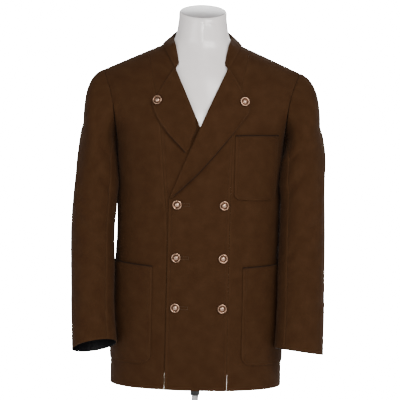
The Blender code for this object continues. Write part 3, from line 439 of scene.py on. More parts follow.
# Fine scratches and smudges of metal and of moulded shells
def wornGroup():
    group, given, end = newGroup("wornFinish", {"Size": 0.004})
    scale = addNode(group, "ShaderNodeMath", {0: 1.0, 1: given["Size"]}, operation="DIVIDE").outputs[0]
    smudge = addNode(group, "ShaderNodeTexNoise", {"Vector": given["Place"], "Scale": scale, "Detail": 5.0})
    pits = addNode(group, "ShaderNodeTexVoronoi", {"Vector": given["Place"], "Scale": scale})
    fillInputs(group, end, {"Tone": smudge.outputs["Fac"], "Relief": pits.outputs["Distance"]})
    return group


brushedNap = napGroup()
wornFinish = wornGroup()


def colourRamp(tree, factor, stops):
    ramp = addNode(tree, "ShaderNodeValToRGB", {"Fac": factor})
    for place, (position, colour) in zip((0, 1), (stops[0], stops[-1])):
        ramp.color_ramp.elements[place].position = position
        ramp.color_ramp.elements[place].color = (*colour, 1)
    for position, colour in stops[1:-1]:
        ramp.color_ramp.elements.new(position).color = (*colour, 1)
    return ramp.outputs["Color"]


def mixColours(tree, share, first, second, blend="MIX"):
    inputs = {0: share, 6: first, 7: second}
    return addNode(tree, "ShaderNodeMix", inputs, data_type="RGBA", blend_type=blend).outputs[2]


def attributeShare(tree, name):
    return addNode(tree, "ShaderNodeAttribute", attribute_name=name).outputs["Fac"]


def newMaterial(name):
    material = bpy.data.materials.new(name)
    material.use_nodes = True
    return material, material.node_tree, material.node_tree.nodes["Principled BSDF"]


# The pattern's tone sets the roughness, from first to last, and its relief the bumps
def finishShader(tree, shader, pattern, first, last, relief, strength, settings):
    rough = addNode(tree, "ShaderNodeMapRange", {
        "Value": pattern.outputs["Tone"], "To Min": first, "To Max": last})
    bump = addNode(tree, "ShaderNodeBump", {
        "Height": pattern.outputs["Relief"], "Distance": relief, "Strength": strength})
    fillInputs(tree, shader, {
        "Roughness": rough.outputs["Result"], "Normal": bump.outputs["Normal"], **settings})


# Cloth or thread: paler near the edges, darker with painted shadow along an edge that stands off the cloth
def woolMaterial(name, look):
    material, tree, shader = newMaterial(name)
    uv = addNode(tree, "ShaderNodeUVMap", uv_map="clothMetres")
    nap = addNode(tree, "ShaderNodeGroup", node_tree=brushedNap)
    fillInputs(tree, nap, {"Place": uv.outputs["UV"], "Thread Size": look["thread"]})
    colour = colourRamp(tree, nap.outputs["Tone"], (
        (0.3, look["dark"]), (0.5, look["middle"]), (0.72, look["light"])))
    pale = {0: attributeShare(tree, "nearEdge"), 1: 0.55}
    softened = addNode(tree, "ShaderNodeMath", pale, operation="MULTIPLY").outputs[0]
    colour = mixColours(tree, softened, colour, (*look["edge"], 1))
    # painted shadow, mixed in where the mask marks an edge that stands off the cloth below
    colour = mixColours(tree, attributeShare(tree, "paintedShadeShare"), colour, (*look["fold"], 1))
    rough = look["roughness"]
    finishShader(tree, shader, nap, rough + 0.08, rough - 0.1, look["relief"], 0.6, {
        "Base Color": colour, "Sheen Weight": look["sheen"], "Sheen Roughness": 0.45,
        "Sheen Tint": (0.75, 0.58, 0.45, 1), "Specular IOR Level": 0.12})
    return material


woolLook = {
    "dark": (0.0262, 0.0092, 0.002),
    "middle": (0.0322, 0.0122, 0.0031),
    "light": (0.0396, 0.0166, 0.005),
    "edge": (0.0415, 0.0176, 0.0058),
    # the next colour is the painted shadow along edges that stand off the cloth
    "fold": (0.0045, 0.0018, 0.0007),
    "roughness": 0.88,
    "sheen": 0.03,
    "relief": 0.00035,
    "thread": 0.0011,
}
liningLook = {
    "dark": (0.0035, 0.0035, 0.004), "middle": (0.006, 0.006, 0.007), "light": (0.01, 0.01, 0.012),
    "edge": (0.008, 0.008, 0.009), "fold": (0.003, 0.003, 0.003),
    "roughness": 0.48, "sheen": 0.0, "relief": 0.0001, "thread": 0.0005,
}
yarnLook = {
    "dark": (0.024, 0.01, 0.004), "middle": (0.036, 0.016, 0.007), "light": (0.05, 0.023, 0.011),
    "edge": (0.036, 0.016, 0.007), "fold": (0.02, 0.01, 0.005),
    "roughness": 0.65, "sheen": 0.05, "relief": 0.0001, "thread": 0.0004,
}
wool = woolMaterial("brownWool", woolLook)
lining = woolMaterial("blackLining", liningLook)
thread = woolMaterial("brownThread", yarnLook)
paleThread = woolMaterial("lightBrownThread", {
    **yarnLook, "dark": (0.052, 0.027, 0.013), "middle": (0.07, 0.038, 0.02),
    "light": (0.09, 0.05, 0.028), "edge": (0.07, 0.038, 0.02), "fold": (0.03, 0.016, 0.008)})


# A hard finish: its colours go from low to high with its wear, times the bands along the attribute "rise"
def hardMaterial(name, low, high, roughness, size, relief=0.0001, metallic=0.0, gloss=0.0, glossRough=0.08,
                 rise=None):
    material, tree, shader = newMaterial(name)
    place = addNode(tree, "ShaderNodeTexCoord")
    worn = addNode(tree, "ShaderNodeGroup", node_tree=wornFinish)
    fillInputs(tree, worn, {"Place": place.outputs["Object"], "Size": size})
    colour = colourRamp(tree, worn.outputs["Tone"], ((0.35, low), (0.65, high)))
    if rise:
        bands = colourRamp(tree, attributeShare(tree, "rise"), rise)
        colour = mixColours(tree, 1.0, colour, bands, "MULTIPLY")
    finishShader(tree, shader, worn, max(roughness - 0.06, 0.03), roughness + 0.08, relief, 0.4, {
        "Base Color": colour, "Metallic": metallic, "Coat Weight": gloss, "Coat Roughness": glossRough})
    return material


copper = hardMaterial(
    "agedCopper", (0.36, 0.23, 0.165), (0.52, 0.36, 0.27), 0.27, 0.003, 0.00015, 1.0, rise=(
        (0.0, (0.1, 0.07, 0.05)), (0.3, (0.45, 0.34, 0.28)), (0.4, (1.0, 0.92, 0.85)),
        (0.5, (0.12, 0.08, 0.06)), (0.62, (0.14, 0.095, 0.07)), (0.74, (0.55, 0.42, 0.34)),
        (0.86, (1.0, 1.0, 1.0)), (1.0, (0.35, 0.24, 0.18))))
# the bands along rise darken the form's top cap: painted shade, as the cap faces up away from the front lights
shell = hardMaterial(
    "whiteShell", (0.8, 0.755, 0.74), (0.84, 0.795, 0.78), 0.22, 0.05, gloss=0.5, glossRough=0.2,
    rise=((0.0, (1.0, 1.0, 1.0)), (0.97, (1.0, 1.0, 1.0)), (1.0, (0.27, 0.26, 0.264))))
blackPaint = hardMaterial("blackPaint", (0.01, 0.01, 0.011), (0.016, 0.016, 0.017), 0.36, 0.01)
palePaint = hardMaterial("palePaint", (0.72, 0.72, 0.73), (0.78, 0.78, 0.79), 0.34, 0.02, gloss=0.2)
print("materials ready")


# Pieces

def addObject(name, data):
    item = bpy.data.objects.new(name, data)
    bpy.context.scene.collection.objects.link(item)
    return item


def addPiece(name, vertices, faces, materials, sharp=None, marks=None):
    mesh = bpy.data.meshes.new(name)
    mesh.from_pydata(np.asarray(vertices).tolist(), [], faces)
    mesh.update()
    mesh.shade_smooth()
    if sharp:
        mesh.set_sharp_from_angle(angle=math.radians(sharp))
    for material in materials:
        mesh.materials.append(material)
    for label, values in (marks or {}).items():
        attribute = mesh.attributes.new(label, "FLOAT", "POINT")
        attribute.data.foreach_set("value", values.astype(np.float32))
    return addObject(name, mesh)


def seatPiece(item, slot, *nodes):
    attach(item, "root")
    if nodes:
        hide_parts(*nodes)
    return item


# A closed sheet between an outer and an inner face, its edges rounded: the first material outside, the
# second inside. Fade weakens its seams; a mask paints shadow along an edge that stands off the cloth below.
def clothPiece(name, outer, normals, edges, thickness=coat["clothThick"], materials=(wool, lining),
               paintedShadeMask=None, fade=1.0):
    rows, columns = outer.shape[:2]
    size = rows * columns
    distances = edgeDistances(outer)
    relief = sum(edgeRelief(distance, kind) for distance, kind in zip(distances, edges)) * fade
    outer = outer + normals * relief[..., None]
    flatOuter = outer.reshape(size, 3)
    flatInner = (outer - normals * thickness).reshape(size, 3)
    index = np.arange(size).reshape(rows, columns)
    corners = np.stack((index[:-1, :-1], index[:-1, 1:], index[1:, 1:], index[1:, :-1]), axis=-1)
    corners = corners.reshape(-1, 4)
    rim = np.concatenate((index[0, :-1], index[:-1, -1], index[-1, :0:-1], index[:0:-1, 0]))
    inward = np.concatenate((index[1, :-1], index[:-1, -2], index[-2, :0:-1], index[:0:-1, 1]))
    outward = unit(flatOuter[rim] - flatOuter[inward])
    middle = (flatOuter[rim] + flatInner[rim]) / 2 + outward * coat["rimRound"]
    rimIndex = 2 * size + np.arange(len(rim))
    after = np.roll(np.arange(len(rim)), -1)
    rimOuter = np.stack((rim[after], rim, rimIndex, rimIndex[after]), axis=-1)
    rimInner = np.stack((rimIndex[after], rimIndex, rim + size, rim[after] + size), axis=-1)
    faces = np.concatenate((corners, corners[:, ::-1] + size, rimOuter, rimInner))
    shown = np.broadcast_to(fade, (rows, columns))
    near = (np.exp(-(np.min(np.stack(distances), axis=0) / coat["paleEdge"]) ** 2) * shown).reshape(size)
    marks = {"nearEdge": np.concatenate((near, near, shown.reshape(size)[rim]))}
    if paintedShadeMask is not None:
        fold = paintedShadeMask.reshape(size)
        marks["paintedShadeShare"] = np.concatenate((fold, fold, fold[rim]))
    vertices = np.concatenate((flatOuter, flatInner, middle))
    item = addPiece(name, vertices, faces.tolist(), materials, marks=marks)
    inside = np.zeros(len(faces), np.int32)
    inside[len(corners):2 * len(corners)] = 1
    item.data.polygons.foreach_set("material_index", inside)
    across = distances[0] - distances[0].mean(axis=1, keepdims=True)
    flat = np.stack((across, distances[2]), axis=-1).reshape(size, 2)
    flat = np.concatenate((flat, flat, flat[rim]))
    loops = np.zeros(len(item.data.loops), np.int32)
    item.data.loops.foreach_get("vertex_index", loops)
    uv = item.data.uv_layers.new(name="clothMetres")
    uv.data.foreach_set("uv", flat[loops].reshape(-1).astype(np.float32))
    return item, outer


# Panels of the body

panelCut = {
    "lowHeight": 0.535, "upperRows": 44, "hemSteps": (0.001, 0.0025, 0.0045, 0.0065, 0.0085),
    "centreWidth": 0.125, "sideWidth": 0.175, "backWidth": 0.33,
    "gap": 0.00015, "sideGap": 0.0008, "backTurn": 0.24,
    "rightShift": 0.014,  # the right panel's seam lies further out above the waist
    "line": 5,  # the line of stitching lies on this column or row of an edge
    "seamLineEnd": 1.42, "edgeLineEnd": 0.8,
}
seamEdges = ("seam", "seam", "plain", "seam")
lowLevels = edgeShares(panelCut["lowHeight"], coat["step"], panelCut["hemSteps"])[:-6]
panelLevels = np.concatenate((lowLevels, np.linspace(1.0, 2.0, panelCut["upperRows"] + 1)))
# the seam hardly shows above the lapels
seamFade = (1 - 0.85 * smoothStep((panelLevels - 1.3) / 0.25))[:, None]
stitchPaths = []  # rows of stitching


def sewLine(points, outward):
    stitchPaths.append(points + outward * coat["threadLift"])


def gridBetween(startTurn, startLevel, endTurn, endLevel, shares):
    turn = startTurn[:, None] * (1 - shares) + endTurn[:, None] * shares
    level = startLevel[:, None] * (1 - shares) + endLevel[:, None] * shares
    return turn, level


def seamTurn(side, gap):
    x = curveAt(frontSeam, 1, panelLevels)
    if side == "right":
        x = x + panelCut["rightShift"] * smoothStep((panelLevels - 0.58) * 2)
    return turnAt(x + gap, panelLevels)


def mirrored(turn, level):
    return -turn[:, ::-1], level[:, ::-1]


# A front panel's grid on the coat; its top row meets the ridge of the shoulder
def frontGrid(side, turn, level):
    if side == "right":
        turn, level = mirrored(turn, level)
    points, normals = onCoat(turn, level, lifted=side == "left")
    points[-1, :, 1] = coat["ridgeY"] - coat["seamGap"] / 2
    return points, normals


def frontCentre(side):
    startTurn, startLevel = locate(lineAt(middleEdge, 1, panelLevels), lineAt(middleEdge, 2, panelLevels))
    shares = edgeShares(panelCut["centreWidth"], coat["step"])
    points, normals = frontGrid(side, *gridBetween(
        startTurn, startLevel, seamTurn(side, -panelCut["gap"]), panelLevels, shares))
    edges = ("stitched", "seamStitched", "plain", "seam")
    seamColumn, edgeColumn = -1 - panelCut["line"], panelCut["line"]
    if side == "right":
        edges = ("seamStitched", "stitched", "plain", "seam")
        seamColumn = panelCut["line"]
    item, outer = clothPiece("frontCentre_" + side, points, normals, edges, fade=seamFade)
    seatPiece(item, "brown_cloth", "front_centre_" + side)
    below = panelLevels < panelCut["seamLineEnd"]
    sewLine(outer[below, seamColumn], normals[below, seamColumn])
    if side == "left":
        low = panelLevels < panelCut["edgeLineEnd"]
        sewLine(outer[low, edgeColumn], normals[low, edgeColumn])


def frontSide(side):
    shares = edgeShares(panelCut["sideWidth"], coat["step"])
    endTurn = np.full(panelLevels.shape, 1 - panelCut["sideGap"])
    points, normals = frontGrid(side, *gridBetween(
        seamTurn(side, panelCut["gap"]), panelLevels, endTurn, panelLevels, shares))
    item = clothPiece("frontSide_" + side, points, normals, seamEdges, fade=seamFade)[0]
    seatPiece(item, "brown_cloth", "front_side_" + side)


# Height of the back's neckline
def neckHeight(share):
    return coat["backNeck"] + (ridgeHeight(coat["neckHalf"]) - coat["backNeck"]) * share ** 2


def backLevels(turn):
    x = np.abs(bodyPoint(turn, np.full(turn.shape, 2.0), 1)[..., 0])
    share = x / coat["neckHalf"]
    return np.where(share >= 1, 2.0, 1 + np.arcsin(riseAt(x, neckHeight(share))) * 2 / math.pi)


def backPanel(side):
    start, end = 1 + panelCut["sideGap"], 2 - coat["seamGap"] / panelCut["backTurn"]
    turns = start + (end - start) * edgeShares(panelCut["backWidth"], coat["step"])
    turn = np.broadcast_to(turns, (panelLevels.size, turns.size))
    rows = panelLevels[:, None]
    level = np.where(rows > 1, 1 + (backLevels(turns) - 1) * (rows - 1), rows)
    if side == "right":
        turn, level = mirrored(turn, level)
    points, normals = onCoat(turn, level, facing=1)
    ridge = np.abs(points[-1, :, 0]) > coat["neckHalf"]
    points[-1, ridge, 1] = coat["ridgeY"] + coat["seamGap"] / 2
    item = clothPiece("backPanel_" + side, points, normals, seamEdges)[0]
    seatPiece(item, "brown_cloth", "back_" + side)


for side in ("left", "right"):
    frontCentre(side)
    frontSide(side)
    backPanel(side)
print("body panels ready")


# Sleeves

sleeveCut = {
    "frontSeam": (140.0, 130.0), "backSeam": (-120.0, -72.0), "gap": 0.17,  # angles above and at the cuff
    "topWidth": 0.24, "underWidth": 0.11, "lowLength": 0.46, "headRows": 25,
    "steps": (0.0012, 0.0028, 0.0046),
    "headLow": 0.7, "headTilt": 0.045, "cuffRadius": 0.05,
    # the cloth leaves the armhole outwards and downwards, at a share of the way to the hanging part
    "leaveOut": (0.35, 0.65), "leaveForward": -0.35, "leaveDown": (-0.36, -0.64),
    "leaveReach": (0.27, 0.08), "lowReach": (0.45, -0.1),
    "puffAlong": (0.42, 0.25), "calmAlong": 0.25, "bodyAngle": (170, 55),
    "bodyStart": (0.575, 0.045), "bodyEnd": (0.69, 0.03), "flushFrom": 0.3,
    "headPuff": 0.0012, "towardsBody": 0.005, "angleWidth": 0.0011,  # metres of cloth for one degree
}
mirrorX = np.array((-1.0, 1.0, 1.0))


def armPoint(angle, height, side):
    rows = armSections[side]
    turn = np.radians(angle)
    outward = curveAt(rows, 1, height) + curveAt(rows, 3, height) * np.cos(turn)
    forward = curveAt(rows, 2, height) - curveAt(rows, 4, height) * np.sin(turn)
    return np.stack((outward, forward, height), axis=-1)


def armholePoint(angle):
    around = np.mod(angle, 360.0)
    level = 1 + (1 + np.cos(np.radians(around))) / 2
    front = bodyPoint(1.0, level, -1)
    back = bodyPoint(1.00001, level, 1)
    point = np.where((around <= 180)[..., None], front, back)
    point[..., 0] += coat["seamGap"]
    return point


# Along is 0 at the armhole, 1 where the hanging part begins and 2 at the cuff
def sleevePoint(angle, along, side):
    angle, along = np.broadcast_arrays(angle, along)
    turn = np.radians(angle)
    cuffMiddle, cuffOut, cuffForward = cuffSlopes[side]
    down = np.maximum(along - 1, 0.0)
    headLow = sleeveCut["headLow"]
    tilt = sleeveCut["headTilt"] * np.cos(turn) * (1 - down) ** 2
    height = headLow + (cuffMiddle - headLow) * down + tilt
    slope = cuffOut * np.cos(turn) + cuffForward * np.sin(turn)
    height = height + sleeveCut["cuffRadius"] * slope * down ** 2
    low = armPoint(angle, height, side)
    start = armholePoint(angle)
    under = (1 - np.cos(turn)) / 2
    reach = np.linalg.norm(low - start, axis=-1, keepdims=True)
    cut = sleeveCut
    leave = np.stack((cut["leaveOut"][0] + cut["leaveOut"][1] * (1 - under), cut["leaveForward"] * np.sin(turn),
                      cut["leaveDown"][0] + cut["leaveDown"][1] * under), axis=-1)
    leaveReach = cut["leaveReach"][0] + cut["leaveReach"][1] * under
    lowReach = cut["lowReach"][0] + cut["lowReach"][1] * under
    first = start + unit(leave) * reach * leaveReach[..., None]
    second = low + np.array((0.0, 0.0, 1.0)) * reach * lowReach[..., None]
    t = np.minimum(along, 1.0)[..., None]
    head = start * (1 - t) ** 3 + first * 3 * t * (1 - t) ** 2 + second * 3 * t * t * (1 - t) + low * t ** 3
    return np.where((along >= 1)[..., None], low, head)


def sleeveStrip(name, side, startAngles, endAngles, width, node):
    lowShares = edgeShares(sleeveCut["lowLength"], coat["step"], sleeveCut["steps"])
    alongs = np.concatenate((np.linspace(0, 1, sleeveCut["headRows"] + 1)[:-1], 1 + lowShares))
    share = (alongs / 2)[:, None]
    start = startAngles[0] + (startAngles[1] - startAngles[0]) * share
    end = endAngles[0] + (endAngles[1] - endAngles[0]) * share
    angle = start + (end - start) * edgeShares(width, coat["step"], sleeveCut["steps"])
    along = np.broadcast_to(alongs[:, None], angle.shape)
    points = sleevePoint(angle, along, side)
    step = 0.8
    across = sleevePoint(angle - step, along, side) - sleevePoint(angle + step, along, side)
    above = np.maximum(along - 0.01, 0)
    upward = sleevePoint(angle, above, side) - sleevePoint(angle, above + 0.02, side)
    normals = unit(np.cross(across, upward))
    around = np.mod(angle, 360.0)
    height = points[..., 2]
    out = -creaseSum(sleeveCreases, around, height, sleeveCut["angleWidth"])
    out += softWaves(around * sleeveCut["angleWidth"], height + 0.3)
    puffAt, puffWidth = sleeveCut["puffAlong"]
    puff = np.maximum(np.cos(np.radians(angle)), 0) * np.exp(-((along - puffAt) / puffWidth) ** 2)
    out = out * smoothStep(along / sleeveCut["calmAlong"]) + sleeveCut["headPuff"] * puff
    bodyAngle, bodyWidth = sleeveCut["bodyAngle"]
    facing = np.exp(-((around - bodyAngle) / bodyWidth) ** 2)
    near = softRamp(height, *sleeveCut["bodyStart"]) * (1 - softRamp(height, *sleeveCut["bodyEnd"]))
    out = out + sleeveCut["towardsBody"] * facing * near
    points = points + normals * out[..., None]
    upper = normals[0, :, 2] > sleeveCut["flushFrom"]
    normals[0, upper, 0] = 0.0  # the upper end of the cloth is cut flush with the armhole
    normals = unit(normals)
    points, normals = points[::-1, ::-1], normals[::-1, ::-1]
    if side == "right":
        points, normals = (points * mirrorX)[:, ::-1], (normals * mirrorX)[:, ::-1]
    item = clothPiece(name + "_" + side, points, normals, seamEdges)[0]
    return seatPiece(item, "brown_cloth", node + "_" + side)


for side in ("left", "right"):
    gap = sleeveCut["gap"]
    front, back = sleeveCut["frontSeam"], sleeveCut["backSeam"]
    top = sleeveStrip("topSleeve", side, (back[0] + gap, back[1] + gap), (front[0] - gap, front[1] - gap),
                      sleeveCut["topWidth"], "top_sleeve")
    under = sleeveStrip("underSleeve", side, (front[0] + gap, front[1] + gap),
                        (360 + back[0] - gap, 360 + back[1] - gap), sleeveCut["underWidth"], "under_sleeve")
print("sleeves ready")


# Collar: its share runs from 0 at the centre back to 1 at a front corner

collarCut = {
    "ridgeShare": 9 / 13, "half": 0.065, "back": 0.062, "front": 0.118, "middleY": 0.003,
    "turn": math.radians(127), "top": 0.964, "slope": 0.008, "sideDrop": 0.033, "endDrop": 0.03,
    "cornerDrop": 0.015, "swell": 0.003, "waver": 0.0008, "thick": 0.0022,
    "sideRun": (0.45, 0.55), "endRun": (0.86, 0.14), "cornerRun": (0.935, 0.065),
    "length": 0.42, "tall": 0.045, "columns": 190, "rows": 10,
    "frontLevels": (2.0, 1.97, 1.883, 1.75, 1.553),
}


def necklinePoint(share):
    ridgeShare = collarCut["ridgeShare"]
    x = coat["neckHalf"] * np.sin(np.minimum(share / ridgeShare, 1) * math.pi / 2)
    turn, level = locate(np.maximum(x, 0.0001), neckHeight(x / coat["neckHalf"]), 1)
    back = bodyPoint(turn, level, 1)
    part = np.clip((share - ridgeShare) / (1 - ridgeShare), 0, 1) * 4
    row = np.interp(part, np.arange(5), collarCut["frontLevels"])
    turn, level = locate(lineAt(middleEdge, 1, row), lineAt(middleEdge, 2, row))
    return np.where((share < ridgeShare)[..., None], back, bodyPoint(turn, level, -1))


def collarTop(share):
    angle = collarCut["turn"] * share
    depth = np.where(angle < math.pi / 2, collarCut["back"], collarCut["front"])
    height = collarCut["top"] - collarCut["slope"] * share
    height = height - collarCut["sideDrop"] * softRamp(share, *collarCut["sideRun"])
    height = height - collarCut["endDrop"] * softRamp(share, *collarCut["endRun"])
    start, run = collarCut["cornerRun"]
    height = height - collarCut["cornerDrop"] * np.clip((share - start) / run, 0, 1) ** 2
    y = collarCut["middleY"] + depth * np.cos(angle)
    return np.stack((collarCut["half"] * np.sin(angle), y, height), axis=-1)


def collar():
    signed = 2 * edgeShares(collarCut["length"], collarCut["length"] / collarCut["columns"]) - 1
    share = np.abs(signed)
    low, high = necklinePoint(share), collarTop(share)
    up = edgeShares(collarCut["tall"], collarCut["tall"] / collarCut["rows"])[:, None, None]
    points = low + (high - low) * up
    waver = collarCut["waver"] * np.sin(up * 5 + signed[None, :, None] * 9)
    swell = (collarCut["swell"] + waver) * np.sin(up * math.pi)
    points = points + unit(points * np.array((1.0, 1.0, 0.0))) * swell
    points[..., 2] -= 2 * coat["seamGap"] * (1 - up[..., 0])  # its foot sinks into the seam
    points[..., 0] *= np.where(signed < 0, -1.0, 1.0)
    item, outer = clothPiece("collarBand", points, gridNormals(points),
                             ("stitched", "stitched", "seam", "stitched"), collarCut["thick"], (wool, wool))
    sewLine(outer[-6], gridNormals(outer)[-6])
    seatPiece(item, "brown_cloth", "collar")


collar()


# Lapels: stations from the break up to the notch, each roll line x and height, then free edge x and height

lapelCut = {
    "wall": 0.0016,
    "left": (
        (-0.065, 0.58, -0.059, 0.5795), (-0.0575, 0.598, -0.0365, 0.6),
        (-0.04, 0.641, 0.0115, 0.65), (-0.012, 0.708, 0.074, 0.726),
        (0.011, 0.762, 0.1, 0.761), (0.034, 0.814, 0.1075, 0.772), (0.058, 0.867, 0.109, 0.787),
    ),
    "right": (
        (0.0245, 0.6885, 0.0325, 0.6803), (0.0165, 0.712, 0.047, 0.696),
        (0.0085, 0.733, 0.072, 0.722), (0.015, 0.764, 0.096, 0.756), (0.058, 0.867, 0.109, 0.787),
    ),
    "stationStep": 0.045,
    "rollReach": (-0.0012, -0.003, -0.0016, 0.004, 0.013),
    "rollLift": (0.0002, 0.0022, 0.0054, 0.0068, 0.006),
    "overEdge": 0.35,
    "narrow": (0.01, 0.048),
    "pressedShare": 0.12,
    "pressedRun": (1.8, 1.6),
    "restLift": 0.0006,
    "edgeLift": 0.0016,
    # how far the free edge stands away from the chest: height, station, spread, where it begins, up to where
    "stand": {"left": (0.0066, 1.6, 1.0, 0.35, 0.65), "right": (0.0022, 1.2, 0.8, 0.4, 0.6)},
    "bow": 0.01,
    # painted shadow along the free edge: the station where it starts, where it starts to fade, and its width
    "shadeStart": {"left": 0.1, "right": -0.6},
    "shadeEnd": {"left": 2.4, "right": 1.6},
    "shadeWidth": {"left": 0.0026, "right": 0.0016},
}


def lapel(side):
    stations = lapelCut[side]
    stationRows = [(k,) + row for k, row in enumerate(stations)]
    last = len(stations) - 1
    along = edgeShares(lapelCut["stationStep"] * last, coat["step"] * 0.8) * last
    rollX, rollZ = lineAt(stationRows, 1, along), lineAt(stationRows, 2, along)
    edgeX, edgeZ = curveAt(stationRows, 3, along), curveAt(stationRows, 4, along)
    width = np.hypot(edgeX - rollX, edgeZ - rollZ)
    outX, outZ = (edgeX - rollX) / width, (edgeZ - rollZ) / width
    shrink = softRamp(width, *lapelCut["narrow"])
    roll = np.linspace(0, 4, 13)
    rollReach = curveAt(list(enumerate(lapelCut["rollReach"])), 1, roll)
    rollReach = np.where(rollReach < 0, rollReach * lapelCut["overEdge"], rollReach)
    reach = rollReach[None, :] * shrink[:, None]
    reach = reach + (width[:, None] * roll / 16) * (1 - shrink[:, None])  # a narrow tip has even columns
    rest = lapelCut["restLift"]
    lift = rest + (curveAt(list(enumerate(lapelCut["rollLift"])), 1, roll)[None, :] - rest) * shrink[:, None]
    if side == "left":  # the roll is pressed flat low down
        least = lapelCut["pressedShare"]
        lift = rest + (lift - rest) * (least + (1 - least) * softRamp(along, *lapelCut["pressedRun"]))[:, None]
    flat = np.concatenate((np.linspace(0, 0.86, 16)[1:], (0.9, 0.93, 0.955, 0.975, 0.99, 1.0)))
    flatReach = reach[:, -1:] + (width[:, None] - reach[:, -1:]) * flat
    flatLift = lift[:, -1:] + (lapelCut["edgeLift"] - lift[:, -1:]) * smoothStep(flat * 1.3)
    stand, station, spread, begin, run = lapelCut["stand"][side]
    away = stand * np.exp(-((along - station) / spread) ** 2)[:, None]
    flatLift = flatLift + away * softRamp(flat, begin, run)
    reach = np.concatenate((reach, flatReach), axis=1)
    lift = np.concatenate((lift, flatLift), axis=1)
    x = rollX[:, None] + outX[:, None] * reach
    height = rollZ[:, None] + outZ[:, None] * reach
    crown = np.maximum(reach / width[:, None], 0)  # the top edge bows up between the notch and the corner
    bow = lapelCut["bow"] * crown * np.maximum(1 - crown, 0) * smoothStep((along - last + 0.5) / 0.5)[:, None]
    x, height = x + 0.4 * bow, height + bow
    turn, level = locate(x, height)
    base = bodyPoint(turn, level)
    if side == "left":
        lift = lift + overLift(base[..., 0], base[..., 2])
    lift = lift + lapelCut["wall"] + 0.5 * softWaves(x + 0.3, height + 0.2)
    points = base + bodyNormal(turn, level) * lift[..., None]
    free, edges, column = points[:, -1:], ("plain", "stitched", "plain", "stitched"), -4
    if side == "right":
        points = points[:, ::-1] * mirrorX
        free, edges, column = points[:, :1], ("stitched", "plain", "plain", "stitched"), 3
    # painted shadow along the lapel's free edge, as cast by the edge standing off the chest; it weakens towards
    # the notch
    strength = 1 - 0.8 * softRamp(along, lapelCut["shadeEnd"][side], 1.2)
    strength = strength * softRamp(along, lapelCut["shadeStart"][side], 0.5)
    fromEdge = np.linalg.norm(points - free, axis=2)
    fold = np.exp(-(fromEdge / lapelCut["shadeWidth"][side]) ** 2) * strength[:, None]
    item, outer = clothPiece("lapelFold_" + side, points, gridNormals(points), edges, lapelCut["wall"],
                             (wool, wool), fold)
    flat = (0.125, 0.33) if side == "left" else (0.125, 0.20)
    normals = gridNormals(outer)
    sewLine(outer[6:-6, column], normals[6:-6, column])
    sewLine(outer[-6, 14:-4], normals[-6, 14:-4])
    seatPiece(item, "brown_cloth", "lapel_" + side)
    return outer


lapelFaces = {side: lapel(side) for side in ("left", "right")}
print("collar and lapels ready")


# Patch pockets, laid on their panels: front is a distance from the middle, back is a turn

pocketCut = {
    "gap": 0.0007,
    "puff": 0.001,
    "turnWidth": 0.2,  # metres of cloth for one turn here
    "chest": {"front": 0.0775, "back": 0.775, "bottom": 0.577, "top": 0.721, "corner": 0.016,
              "mouth": 0.0022, "slant": 0.03},
    "lower": {"front": 0.101, "back": 0.962, "bottom": 0.206, "top": 0.427, "corner": 0.022,
              "mouth": 0.004, "slant": 0.019},
    # how dark the painted shadow of the mouth is on the top three rows
    "mouthShade": (0.5, 0.9, 1.0),
}


def patchPocket(name, cut, side, node):
    tall = cut["top"] - cut["bottom"]
    shares = edgeShares(tall, coat["step"])
    height = cut["bottom"] + tall * shares
    startTurn, level = locate(np.full(height.shape, cut["front"]), height)
    scale = pocketCut["turnWidth"]
    wide = (cut["back"] - startTurn) * scale
    corner = cut["corner"]
    low = np.maximum(corner - (height - cut["bottom"]), 0)
    inset = corner - np.sqrt(np.maximum(corner ** 2 - low ** 2, 0))
    up, shares = shares[:, None], edgeShares(float(wide.mean()), coat["step"])
    start, end = startTurn + inset / scale, cut["back"] - inset / scale
    turn = start[:, None] * (1 - shares) + end[:, None] * shares
    level = level[:, None] + cut["slant"] * shares * up ** 2  # the mouth rises towards the side
    if side == "right":
        turn, level = mirrored(turn, level)
    bulge = (np.sin(np.clip(shares, 0, 1) * math.pi) ** 0.8)[None, :]
    gape = cut["mouth"] * bulge * smoothStep((up - 0.72) / 0.28) ** 2
    puff = pocketCut["puff"] * bulge * np.sin(up * math.pi) ** 0.8
    lift = pocketCut["gap"] + coat["clothThick"] + gape + puff
    points, normals = onCoat(turn, level, lifted=side == "left", lift=lift)
    # painted shadow in the pocket's mouth, on its top three rows and darkest at the top edge
    mouthShade = np.zeros(turn.shape)
    mouthShade[-3:] = np.array(pocketCut["mouthShade"])[:, None]
    item, outer = clothPiece(name, points, normals, ("stitched",) * 4, paintedShadeMask=mouthShade)
    for path in (outer[5:, 5], outer[5:, -6], outer[5, 5:-5], outer[-6, 2:-2]):
        sewLine(path, np.array((0.0, -1.0, 0.0)))
    seatPiece(item, "brown_cloth", node)


patchPocket("chestPocket", pocketCut["chest"], "left", "chest_pocket")
for side in ("left", "right"):
    patchPocket("lowerPocket_" + side, pocketCut["lower"], side, "lower_pocket_" + side)
print("pockets ready")


def ringFaces(rings, sides, first=0):
    faces = []
    for low in range(first, first + (rings - 1) * sides, sides):
        for k in range(sides):
            after = (k + 1) % sides
            faces.append((low + k, low + after, low + sides + after, low + sides + k))
    return faces


# Turned pieces: (radius, height) pairs from the lower pole to the upper one

